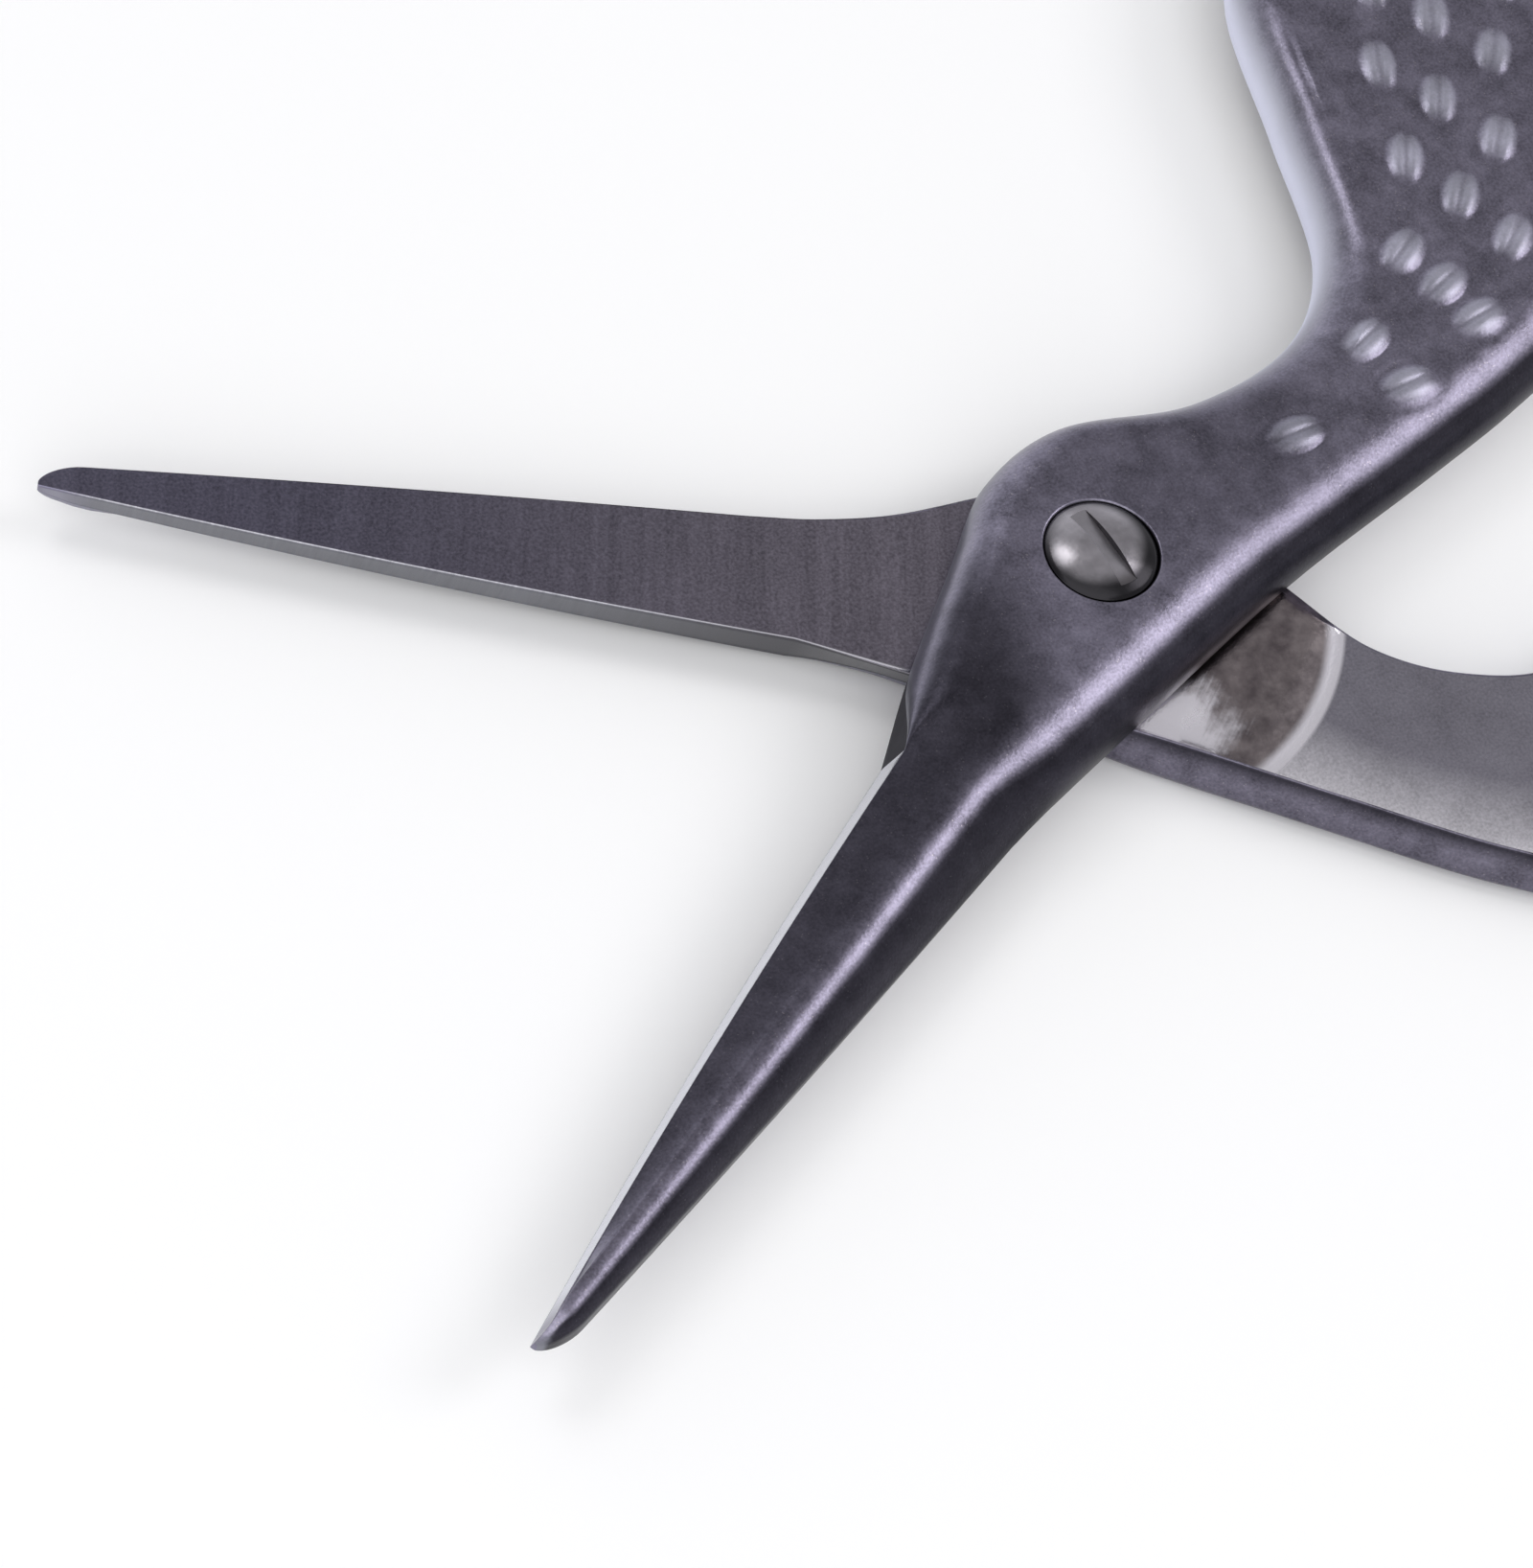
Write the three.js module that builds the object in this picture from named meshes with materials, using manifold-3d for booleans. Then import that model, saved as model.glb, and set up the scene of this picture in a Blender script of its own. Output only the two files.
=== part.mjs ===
// Stork embroidery scissors: two crossed halves that swing on a slotted pivot screw.
// Millimetres, +Z up. The scissors lie open and flat. The origin is on the pivot axis, on the plane
// that they rest on. The blades point towards -X and the finger rings towards +X.
import * as THREE from 'three';
import { mergeVertices } from 'three/addons/utils/BufferGeometryUtils.js';
import Module from 'manifold-3d';

const wasm = await Module();
wasm.setup();

// The pair
const OPEN_ANGLE = 58.4; // degrees between the blades as they lie
const HALF_THICKNESS = 2.5; // joint plane to the outer face of each half
const JOINT_GAP = 0.1; // between the two joint faces

// Blades. The closed blades cover each other: one's edge runs beside the other's spine
const TIP_REACH = 38; // pivot axis to blade tip
const FRONT_HEEL_REACH = 11.5; // pivot axis to the heel of the cutting edge
const REAR_HEEL_REACH = 10.8;
const FRONT_SPINE_REACH = 11.5; // pivot axis to the end of the spine
const REAR_SPINE_REACH = 12.5;
const TIP_WIDTH = 0.9;
const TIP_ROUND = 1.6; // length of the rounded nose
const NOSE_HEIGHT = 0.15; // share of the blade's height left at the end of the nose
const FRONT_HEEL_OFFSET = 2.05; // line from pivot to tip, to the cutting edge at the heel
const REAR_HEEL_OFFSET = 3.46;
const FRONT_SPINE_OFFSET = -3.35; // the same line to the end of the spine
const REAR_SPINE_OFFSET = -1.78;
const FRONT_TIP_OFFSET = 0.1; // the same line to the cutting edge at the tip
const REAR_TIP_OFFSET = 0.3;
const EDGE_BELLY = 0.2; // bow of the cutting edge
const SPINE_BELLY = 0.1; // bow of the spine
const BEVEL_TIP_INSET = 0.28; // plan width of the ground bevel
const BEVEL_HEEL_INSET = 0.5;
const BEVEL_SHARE = 1 / 3; // most of a narrow blade's width that the bevel takes
const BEVEL_TIP_HEIGHT = 1.1;
const BEVEL_HEEL_HEIGHT = 2;
const RIDGE_TIP_HEIGHT = 1.35; // joint plane to the ridge on the blade's back
const RIDGE_HEEL_HEIGHT = 2.4;
const SPINE_TIP_HEIGHT = 0.9; // straight wall of the spine
const RIDGE_TIP_INSET = 0.7; // ridge to spine, in plan
const RIDGE_HEEL_INSET = 2.8;
const HOLLOW = 0.25; // hollow grinding: the joint face falls away towards the spine
const EDGE_LAND = 0.05; // blunt land of every sharp edge

// Head, neck and body, as [distance behind the pivot, offset], seen on the half's outer face with the
// blade to the left and the finger ring on the positive side
const FRONT_RING_SIDE = [
  [-7.7, 3.2], [-2.5, 4.4], [0.6, 5.05], [4.2, 4.25], [9, 0.7], [13.9, -0.9],
  [18.2, 0.15], [22.4, 4.3], [27, 8.9], [34, 11.9], [41.5, 8.3],
];
const FRONT_FAR_SIDE = [
  [-9, -3.67], [-4.1, -4.5], [4.9, -6.1], [13, -8.2], [17.4, -9.25], [22, -9.9], [27, -9.2],
  [34, -5.9], [40, -1.9],
];
const REAR_RING_SIDE = [
  [-7, 4.25], [1.5, 5.85], [9.4, 7.83], [15.6, 9.32], [23, 10.1], [30, 8.7], [38, 5.4],
];
const REAR_FAR_SIDE = [
  [-9.7, -1.98], [-6.8, -2.5], [-2.5, -4.05], [1, -4.8], [4, -3.95], [7.7, -1], [10.7, 1.2],
  [14.3, 1.9], [18, 1.1], [22.9, -3], [28, -7.7], [34.5, -10.5], [40.5, -7.2],
];
const FRONT_HEAD_START = 8; // pivot axis forward to where the head's full round begins
const REAR_HEAD_START = 5;
const NECK_START = 4; // pivot axis to where the head starts to thin into the neck
const BODY_START = 8; // pivot axis to where it has the body's thickness
const BODY_THICKNESS = 2.3;
const SHOULDER = 1.7; // round of the head's outer edge on the ring side
const BODY_SHOULDER = 2.2; // the same on the body
const FAR_SHOULDER = 2.8; // round of the outer edge on the far side
const WALL_FOOT = 0.8; // height of the side wall below those rounds
const BODY_WALL = 0.4;
const FAR_FOOT = 0.25;
const REAR_EDGE = { wall: 1.8, round: 0.7 }; // the rear half's belly has a tall wall with a small round
const REAR_LEAN = [ // how far that wall leans in over its height, as [distance behind the pivot, lean]
  [-9.3, 0.3], [-7, 0.6], [-3, 0.4], [3, -0.3], [30, -0.3],
];
const JOINT_EASE = 0.15; // eased edges of the joint face

// Leg and finger ring
const LEG_START = 48; // pivot axis to where the leg has its own width
const LEG_WIDTH = 2.9;
const LEG_THICKNESS = 2.3; // joint plane to the leg's outer face
const LEG_ROUND = 1.4;
const LEG_DROP = 4; // length over which the leg grows past the joint plane
const RING_REACH = 59.5; // pivot axis to the ring's centre
const RING_LENGTH = 25; // outside, along the leg
const RING_WIDTH = 23; // outside, across the leg
const RING_BAR = 3.2; // thickness of the ring's bar in plan
const RING_GAP = 0.4; // between the two rings when closed

// Pivot
const HEAD_DIAMETER = 4.2;
const HEAD_EDGE = 0.75; // straight edge of the screw head
const HEAD_DOME = 0.55; // rise of its dome
const HEAD_CLEARANCE = 0.08; // head to counterbore wall
const COUNTERBORE_DEPTH = 0.9;
const SLOT_WIDTH = 0.75;
const SLOT_DEPTH = 0.32;
const SLOT_TURN = 4; // degrees from the Y axis
const SHANK_DIAMETER = 2.4;
const THREAD_DIAMETER = 2;
const SHANK_CLEARANCE = 0.08;
const THREAD_CLEARANCE = 0.08; // stands for the thread
const SEAT_GAP = 0.1; // under the screw's head and shoulder
const RECESS_DEPTH = 0.35; // ground recess behind the pivot, on the joint face
const RECESS_INNER = 3.6; // radius of the bearing boss left round the pivot
const RECESS_OUTER = 9.9; // radius of the recess's shoulder
const RECESS_SWEEP = 200; // degrees

// Feathers on the outer face: ovals in rows round the pivot. from and step are shares of the width
// from the bird's belly to its back, turn is in degrees
const FEATHER_LENGTH = 2.6;
const FEATHER_WIDTH = 1.55;
const FEATHER_RISE = 0.2;
const FEATHER_FAN = 60; // degrees that a row's feathers would turn over the whole width
const FEATHER_ROWS = [
  { reach: 9.9, from: 0.51, step: 0, count: 1, turn: -28 },
  { reach: 15.2, from: 0.38, step: 0.31, count: 2, turn: -18 },
  { reach: 19.6, from: 0.32, step: 0.17, count: 3, turn: -10 },
  { reach: 23.5, from: 0.29, step: 0.16, count: 3, turn: 18 },
  { reach: 26.9, from: 0.2, step: 0.15, count: 4, turn: 24 },
  { reach: 30.4, from: 0.22, step: 0.15, count: 4, turn: 26 },
  { reach: 33.9, from: 0.2, step: 0.16, count: 4, turn: 20 },
  { reach: 37.3, from: 0.26, step: 0.17, count: 3, turn: 5 },
];
const WING_REACH = 24.55; // pivot axis to the middle of the wing's edge, a long slim ridge
const WING_LENGTH = 8;
const WING_WIDTH = 0.9;
const WING_RISE = 0.15;
const WING_TURN = 52; // degrees
const FRONT_WING_OFFSET = 4;
const REAR_WING_OFFSET = -2.1;

// Fineness of the round forms
const SHOULDER_STEPS = 3;
const DOME_STEPS = 8;
const NOSE_SHARES = [0.02, 0.1, 0.25, 0.6]; // sections in the rounded nose
const BLADE_STEP = 3.2; // spacing of the sections
const HANDLE_STEP = 1.6;
const RING_STEPS = 80;
const BAR_STEPS = 12;
const ROUND_STEPS = 32;
const FEATHER_STEPS = 8;

const FACE = JOINT_GAP / 2;
const LEG_LINE = RING_GAP / 2 + RING_BAR / 2;
const LEG_END = RING_REACH - RING_BAR / 2;
const RING_LINE = LEG_LINE + (RING_WIDTH - RING_BAR) / 2;
const PIERCE = 2 * HALF_THICKNESS; // how far cutters reach past the faces

// Smooth curve through points, as a function of x
function track(points) {
  const slope = points.map((point, i) => {
    const before = points[Math.max(i - 1, 0)];
    const after = points[Math.min(i + 1, points.length - 1)];
    return (after[1] - before[1]) / (after[0] - before[0]);
  });
  return (x) => {
    let i = 0;
    while (i < points.length - 2 && x > points[i + 1][0]) i += 1;
    const span = points[i + 1][0] - points[i][0];
    const t = THREE.MathUtils.clamp((x - points[i][0]) / span, 0, 1);
    const rest = 1 - t;
    const start = points[i][1] * rest * rest * (1 + 2 * t) + slope[i] * span * t * rest * rest;
    const end = points[i + 1][1] * t * t * (3 - 2 * t) - slope[i + 1] * span * t * t * rest;
    return start + end;
  };
}

// One side of a half: a bowed blade line from tip to heel, then a smooth line to the leg
function side(tipOffset, heel, belly, points, legOffset) {
  const [heelX, heelOffset] = heel;
  const handle = track([heel, ...points, [LEG_START, legOffset], [LEG_END, legOffset]]);
  return (x) => {
    if (x > heelX) return handle(x);
    const t = (x + TIP_REACH) / (TIP_REACH + heelX);
    return THREE.MathUtils.lerp(tipOffset, heelOffset, t) + 4 * belly * t * (1 - t);
  };
}

function outline({ tipOffset, heel, spine, headStart, ringSide, farSide, edge, lean }) {
  return {
    heel: heel[0],
    headStart,
    edge,
    lean: track([[heel[0], 0], ...lean, [LEG_START, 0]]),
    ring: side(tipOffset, heel, EDGE_BELLY, ringSide, LEG_LINE + LEG_WIDTH / 2),
    far: side(tipOffset - TIP_WIDTH, spine, -SPINE_BELLY, farSide, LEG_LINE - LEG_WIDTH / 2),
  };
}

// Section of a half from blade to leg. inset and wall: top of the bevel or of the side wall on the ring
// side. round and top: where that side's shoulder ends. ridge and height: ridge or shoulder on the far
// side. crest: 0 for a round shoulder, 1 for a blade's ridge. foot: its straight wall. hollow and drop:
// the joint face's fall. ringEase and farEase: its eased edges
const bladeTip = {
  inset: BEVEL_TIP_INSET, wall: BEVEL_TIP_HEIGHT, round: BEVEL_TIP_INSET + EDGE_LAND,
  top: BEVEL_TIP_HEIGHT + EDGE_LAND, ridge: RIDGE_TIP_INSET, height: RIDGE_TIP_HEIGHT, crest: 1,
  foot: SPINE_TIP_HEIGHT, hollow: 0, drop: 0, ringEase: EDGE_LAND, farEase: EDGE_LAND,
};
const bladeHeel = {
  inset: BEVEL_HEEL_INSET, wall: BEVEL_HEEL_HEIGHT, round: BEVEL_HEEL_INSET + EDGE_LAND,
  top: BEVEL_HEEL_HEIGHT + EDGE_LAND, ridge: RIDGE_HEEL_INSET, height: RIDGE_HEEL_HEIGHT, crest: 1,
  foot: WALL_FOOT / 2, hollow: HOLLOW, drop: 0, ringEase: EDGE_LAND, farEase: EDGE_LAND,
};
const head = {
  inset: 0, wall: WALL_FOOT, round: SHOULDER, top: HALF_THICKNESS, ridge: FAR_SHOULDER,
  height: HALF_THICKNESS, crest: 0, foot: FAR_FOOT, hollow: 0, drop: 0, ringEase: JOINT_EASE,
  farEase: JOINT_EASE,
};
const body = {
  ...head, wall: BODY_WALL, round: BODY_SHOULDER, top: BODY_THICKNESS, height: BODY_THICKNESS,
};
const legTop = {
  ...body, wall: LEG_THICKNESS - LEG_ROUND, foot: LEG_THICKNESS - LEG_ROUND, round: LEG_ROUND,
  ridge: LEG_ROUND, top: LEG_THICKNESS, height: LEG_THICKNESS,
};
const leg = { ...legTop, drop: LEG_THICKNESS, ringEase: LEG_ROUND / 2, farEase: LEG_ROUND / 2 };

function sectionAt(x, lines) {
  const ownHead = { ...head, ...lines.edge };
  const ownBody = { ...body, ...lines.edge };
  const sections = [
    [-TIP_REACH, bladeTip], [lines.heel, bladeHeel], [-lines.headStart, ownHead], [NECK_START, ownHead],
    [BODY_START, ownBody], [LEG_START - LEG_DROP, ownBody], [LEG_START, legTop],
    [LEG_START + LEG_DROP, leg], [LEG_END, leg],
  ];
  let i = 0;
  while (i < sections.length - 2 && x > sections[i + 1][0]) i += 1;
  const [start, first] = sections[i];
  const [end, second] = sections[i + 1];
  const share = THREE.MathUtils.inverseLerp(start, end, x);
  const t = second === bladeHeel ? share : THREE.MathUtils.smoothstep(share, 0, 1);
  const section = {};
  for (const key of Object.keys(first)) section[key] = THREE.MathUtils.lerp(first[key], second[key], t);
  section.inset += lines.lean(x);
  section.round += lines.lean(x);
  return section;
}

// How far the far side falls at a share of its way from ridge to spine, as [across, down] shares
function fall(share, crest) {
  const angle = share * (Math.PI / 2);
  return [
    THREE.MathUtils.lerp(Math.sin(angle), share, crest),
    THREE.MathUtils.lerp(1 - Math.cos(angle), share ** 2, crest),
  ];
}

// Points round one section, as [offset, height above the joint plane]
function sectionPoints(lines, x) {
  const nose = THREE.MathUtils.clamp((x + TIP_REACH) / TIP_ROUND, 0, 1);
  const fullness = Math.sqrt(1 - (1 - nose) ** 2);
  const ring = lines.ring(x);
  const width = (ring - lines.far(x)) * fullness;
  const far = ring - width;
  const s = sectionAt(x, lines);
  const land = Math.min(EDGE_LAND, width * BEVEL_SHARE) / 2;
  const round = Math.min(s.round, width * BEVEL_SHARE);
  const inset = Math.min(s.inset, round - land / 2);
  const ridge = Math.min(s.ridge, width - round - land);
  const ringEase = Math.min(s.ringEase, width * BEVEL_SHARE);
  const farEase = Math.min(s.farEase, width * BEVEL_SHARE);
  const lift = THREE.MathUtils.lerp(NOSE_HEIGHT, 1, fullness);
  const low = FACE - s.drop;
  const farLow = low + s.hollow;
  const points = [[ring - ringEase, low], [ring, low + ringEase]];
  for (let i = 0; i <= SHOULDER_STEPS; i += 1) {
    const angle = (i / SHOULDER_STEPS) * (Math.PI / 2);
    const across = round - (round - inset) * Math.cos(angle);
    points.push([ring - across, lift * THREE.MathUtils.lerp(s.wall, s.top, Math.sin(angle))]);
  }
  for (let i = 0; i <= SHOULDER_STEPS; i += 1) {
    const [across, down] = fall(i / SHOULDER_STEPS, s.crest);
    points.push([far + ridge * (1 - across), lift * THREE.MathUtils.lerp(s.height, s.foot, down)]);
  }
  points.push([far, farLow + farEase], [far + farEase, farLow]);
  points.push([far + width / 2, low + s.hollow / 2]);
  return points;
}

// Closed skin over a row of sections, with a fan on each end
function skin(rows) {
  const size = rows[0].length;
  const positions = rows.flat(2);
  const triangles = [];
  for (let row = 0; row < rows.length - 1; row += 1) {
    for (let i = 0; i < size; i += 1) {
      const a = row * size + i;
      const b = row * size + ((i + 1) % size);
      triangles.push(a, b, a + size, b, b + size, a + size);
    }
  }
  for (const [row, turn] of [[0, 1], [rows.length - 1, 0]]) {
    const centre = positions.length / 3;
    for (let axis = 0; axis < 3; axis += 1) {
      positions.push(rows[row].reduce((sum, point) => sum + point[axis] / size, 0));
    }
    for (let i = 0; i < size; i += 1) {
      const pair = [row * size + i, row * size + ((i + 1) % size)];
      triangles.push(pair[turn], pair[1 - turn], centre);
    }
  }
  const geometry = new THREE.BufferGeometry();
  geometry.setAttribute('position', new THREE.Float32BufferAttribute(positions, 3));
  geometry.setIndex(triangles);
  return geometry;
}

// A closed geometry as a solid that can be joined and cut
function solid(geometry) {
  const bare = new THREE.BufferGeometry();
  bare.setAttribute('position', geometry.getAttribute('position'));
  bare.setIndex(geometry.getIndex());
  const merged = mergeVertices(bare);
  const corners = merged.getIndex().array;
  const triVerts = [];
  for (let i = 0; i < corners.length; i += 3) {
    const [a, b, c] = corners.slice(i, i + 3);
    if (a !== b && b !== c && c !== a) triVerts.push(a, b, c);
  }
  return new wasm.Manifold(new wasm.Mesh({
    numProp: 3,
    vertProperties: merged.getAttribute('position').array,
    triVerts: Uint32Array.from(triVerts),
  }));
}

function meshOf(name, manifold, material) {
  const { vertProperties, triVerts } = manifold.getMesh();
  const geometry = new THREE.BufferGeometry();
  geometry.setAttribute('position', new THREE.BufferAttribute(vertProperties, 3));
  geometry.setIndex(new THREE.BufferAttribute(triVerts, 1));
  geometry.computeVertexNormals();
  const mesh = new THREE.Mesh(geometry, material);
  mesh.name = name;
  return mesh;
}

function cylinder(radius, bottom, top) {
  const height = top - bottom;
  const geometry = new THREE.CylinderGeometry(radius, radius, height, ROUND_STEPS);
  geometry.rotateX(Math.PI / 2);
  geometry.translate(0, 0, bottom + height / 2);
  return solid(geometry);
}

function stations(heel) {
  const xs = [];
  for (const share of NOSE_SHARES) xs.push(-TIP_REACH + TIP_ROUND * share);
  const stretches = [
    [-TIP_REACH + TIP_ROUND, heel, BLADE_STEP], [heel, LEG_START, HANDLE_STEP],
    [LEG_START, LEG_END, HANDLE_STEP],
  ];
  for (const [start, end, step] of stretches) {
    const count = Math.ceil((end - start) / step);
    for (let i = 0; i < count; i += 1) xs.push(start + ((end - start) * i) / count);
  }
  xs.push(LEG_END);
  return xs;
}

// Oval finger ring, as thick as the closed pair
function fingerRing() {
  const geometry = new THREE.TorusGeometry(RING_WIDTH, RING_BAR / 2, BAR_STEPS, RING_STEPS);
  const position = geometry.getAttribute('position');
  const halfLength = (RING_LENGTH - RING_BAR) / 2;
  const halfWidth = (RING_WIDTH - RING_BAR) / 2;
  for (let i = 0; i < position.count; i += 1) {
    const angle = Math.atan2(position.getY(i), position.getX(i));
    const out = Math.hypot(position.getX(i), position.getY(i)) - RING_WIDTH;
    const x = RING_REACH + (halfLength + out) * Math.cos(angle);
    const y = RING_LINE + (halfWidth + out) * Math.sin(angle);
    position.setXYZ(i, x, y, (position.getZ(i) / (RING_BAR / 2)) * HALF_THICKNESS);
  }
  return solid(geometry);
}

// Ground recess behind the pivot: a ring sector sunk into the joint face
function recess() {
  const sweep = THREE.MathUtils.degToRad(RECESS_SWEEP);
  const shape = new THREE.Shape();
  shape.absarc(0, 0, RECESS_OUTER, -sweep / 2, sweep / 2, false);
  shape.absarc(0, 0, RECESS_INNER, sweep / 2, -sweep / 2, true);
  const options = { depth: PIERCE, bevelEnabled: false, curveSegments: ROUND_STEPS / 2 };
  const geometry = new THREE.ExtrudeGeometry(shape, options);
  geometry.translate(0, 0, FACE + RECESS_DEPTH - PIERCE);
  return solid(geometry);
}

// Raised oval on the outer face
function oval(size, turn, place) {
  const geometry = new THREE.SphereGeometry(1, FEATHER_STEPS, FEATHER_STEPS / 2);
  geometry.rotateX(Math.PI / 2);
  geometry.scale(size.length / 2, size.width / 2, size.rise + EDGE_LAND);
  geometry.rotateZ(THREE.MathUtils.degToRad(turn));
  geometry.translate(place.x, place.y, place.face - EDGE_LAND);
  return solid(geometry);
}

// Feathers and the wing's edge. back is the side of the bird's back, 1 or -1
function plumage(lines, wingOffset, back) {
  const wing = { length: WING_LENGTH, width: WING_WIDTH, rise: WING_RISE };
  const feather = { length: FEATHER_LENGTH, width: FEATHER_WIDTH, rise: FEATHER_RISE };
  const ovals = [oval(wing, back * WING_TURN, { x: WING_REACH, y: wingOffset, face: BODY_THICKNESS })];
  for (const { reach, from, step, count, turn } of FEATHER_ROWS) {
    for (let i = 0; i < count; i += 1) {
      const share = from + step * i;
      const fromFar = back > 0 ? share : 1 - share;
      const across = (along) => THREE.MathUtils.lerp(lines.far(along), lines.ring(along), fromFar);
      const x = Math.sqrt(reach ** 2 - across(reach) ** 2);
      const fan = FEATHER_FAN * (share - from - (step * (count - 1)) / 2);
      const face = sectionAt(x, lines).top;
      ovals.push(oval(feather, back * (turn + fan), { x, y: across(x), face }));
    }
  }
  return ovals;
}

// One half with its joint face at z = 0, blade towards -X, finger ring on the +Y side
function half(lines, ovals, holes) {
  const rows = stations(lines.heel).map((x) => sectionPoints(lines, x).map(([y, z]) => [x, y, z]));
  let shape = solid(skin(rows)).add(fingerRing()).subtract(recess());
  for (const raised of ovals) shape = shape.add(raised);
  for (const hole of holes) shape = shape.subtract(hole);
  return shape;
}

// Screw from its end, flush with the rear half's outer face, up to the dome
function pivotScrew() {
  const shoulder = HALF_THICKNESS - FACE + SEAT_GAP;
  const under = 2 * HALF_THICKNESS - COUNTERBORE_DEPTH + SEAT_GAP;
  const edge = under + HEAD_EDGE;
  const headRadius = HEAD_DIAMETER / 2;
  const domeRadius = (headRadius ** 2 + HEAD_DOME ** 2) / (2 * HEAD_DOME);
  const domeReach = Math.asin(headRadius / domeRadius);
  const profile = [
    [0, 0], [THREAD_DIAMETER / 2, 0], [THREAD_DIAMETER / 2, shoulder], [SHANK_DIAMETER / 2, shoulder],
    [SHANK_DIAMETER / 2, under], [headRadius, under],
  ];
  for (let i = 0; i <= DOME_STEPS; i += 1) {
    const angle = domeReach * (1 - i / DOME_STEPS);
    profile.push([domeRadius * Math.sin(angle), edge + HEAD_DOME - domeRadius * (1 - Math.cos(angle))]);
  }
  const points = profile.map(([r, z]) => new THREE.Vector2(r, z));
  const turned = new THREE.LatheGeometry(points, ROUND_STEPS);
  turned.rotateX(Math.PI / 2);
  const slot = new THREE.BoxGeometry(SLOT_WIDTH, 2 * HEAD_DIAMETER, PIERCE);
  slot.rotateZ(THREE.MathUtils.degToRad(SLOT_TURN));
  slot.translate(0, 0, edge + HEAD_DOME - SLOT_DEPTH + PIERCE / 2);
  return solid(turned).subtract(solid(slot));
}

const blackenedSteel = new THREE.MeshStandardMaterial({ color: 0x57525a, roughness: 0.42, metalness: 0.9 });
const screwSteel = new THREE.MeshStandardMaterial({ color: 0x5e5a60, roughness: 0.36, metalness: 0.9 });

const frontLines = outline({
  tipOffset: FRONT_TIP_OFFSET,
  heel: [-FRONT_HEEL_REACH, FRONT_HEEL_OFFSET],
  spine: [-FRONT_SPINE_REACH, FRONT_SPINE_OFFSET],
  headStart: FRONT_HEAD_START,
  ringSide: FRONT_RING_SIDE,
  farSide: FRONT_FAR_SIDE,
  edge: {},
  lean: [],
});
const rearLines = outline({
  tipOffset: REAR_TIP_OFFSET,
  heel: [-REAR_HEEL_REACH, REAR_HEEL_OFFSET],
  spine: [-REAR_SPINE_REACH, REAR_SPINE_OFFSET],
  headStart: REAR_HEAD_START,
  ringSide: REAR_RING_SIDE,
  farSide: REAR_FAR_SIDE,
  edge: REAR_EDGE,
  lean: REAR_LEAN,
});
const frontPlumage = plumage(frontLines, FRONT_WING_OFFSET, 1);
const rearPlumage = plumage(rearLines, REAR_WING_OFFSET, -1);

const bore = cylinder(SHANK_DIAMETER / 2 + SHANK_CLEARANCE, -PIERCE, PIERCE);
const counterbore = cylinder(HEAD_DIAMETER / 2 + HEAD_CLEARANCE, HALF_THICKNESS - COUNTERBORE_DEPTH, PIERCE);
const threadHole = cylinder(THREAD_DIAMETER / 2 + THREAD_CLEARANCE, -PIERCE, PIERCE);

const frontTurn = new THREE.Group();
frontTurn.position.z = HALF_THICKNESS;
frontTurn.rotation.z = THREE.MathUtils.degToRad(OPEN_ANGLE / 2);
const frontHalf = half(frontLines, frontPlumage, [bore, counterbore]);
frontTurn.add(meshOf('front_half', frontHalf, blackenedSteel));

// The rear half lies face up: turned over about the blade, then swung the other way
const rearFlip = new THREE.Group();
rearFlip.rotation.x = Math.PI;
rearFlip.add(meshOf('rear_half', half(rearLines, rearPlumage, [threadHole]), blackenedSteel));
const rearTurn = new THREE.Group();
rearTurn.position.z = HALF_THICKNESS;
rearTurn.rotation.z = THREE.MathUtils.degToRad(-OPEN_ANGLE / 2);
rearTurn.add(rearFlip);

const scissors = new THREE.Group();
scissors.add(frontTurn, rearTurn, meshOf('pivot_screw', pivotScrew(), screwSteel));

export default scissors;
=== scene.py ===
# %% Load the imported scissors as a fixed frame
from math import asin, atan2, cos, exp, hypot, pi, radians, sin, sqrt

import bmesh
import bpy
from mathutils import Matrix, Vector
from mathutils.kdtree import KDTree


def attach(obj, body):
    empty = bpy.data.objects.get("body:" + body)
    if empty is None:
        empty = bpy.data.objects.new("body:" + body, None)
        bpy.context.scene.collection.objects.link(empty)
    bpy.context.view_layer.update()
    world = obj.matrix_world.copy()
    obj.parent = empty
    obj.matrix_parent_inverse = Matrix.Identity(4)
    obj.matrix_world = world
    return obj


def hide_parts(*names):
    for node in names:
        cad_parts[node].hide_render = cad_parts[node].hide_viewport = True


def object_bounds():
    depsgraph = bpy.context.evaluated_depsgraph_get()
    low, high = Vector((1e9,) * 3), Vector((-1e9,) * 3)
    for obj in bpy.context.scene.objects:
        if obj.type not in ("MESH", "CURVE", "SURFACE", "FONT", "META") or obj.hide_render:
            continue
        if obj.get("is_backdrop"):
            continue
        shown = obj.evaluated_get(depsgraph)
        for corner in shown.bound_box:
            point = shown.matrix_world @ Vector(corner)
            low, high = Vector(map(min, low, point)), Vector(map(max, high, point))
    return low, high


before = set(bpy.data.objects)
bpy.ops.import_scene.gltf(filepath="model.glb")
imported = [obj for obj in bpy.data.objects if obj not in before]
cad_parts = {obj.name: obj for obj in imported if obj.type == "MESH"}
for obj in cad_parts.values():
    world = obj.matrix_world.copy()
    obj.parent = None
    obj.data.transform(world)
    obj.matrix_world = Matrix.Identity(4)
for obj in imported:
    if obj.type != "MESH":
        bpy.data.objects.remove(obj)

MM = 0.001  # the shapes below are drawn in millimetres, and Blender works in metres
cad_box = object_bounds()

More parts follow.
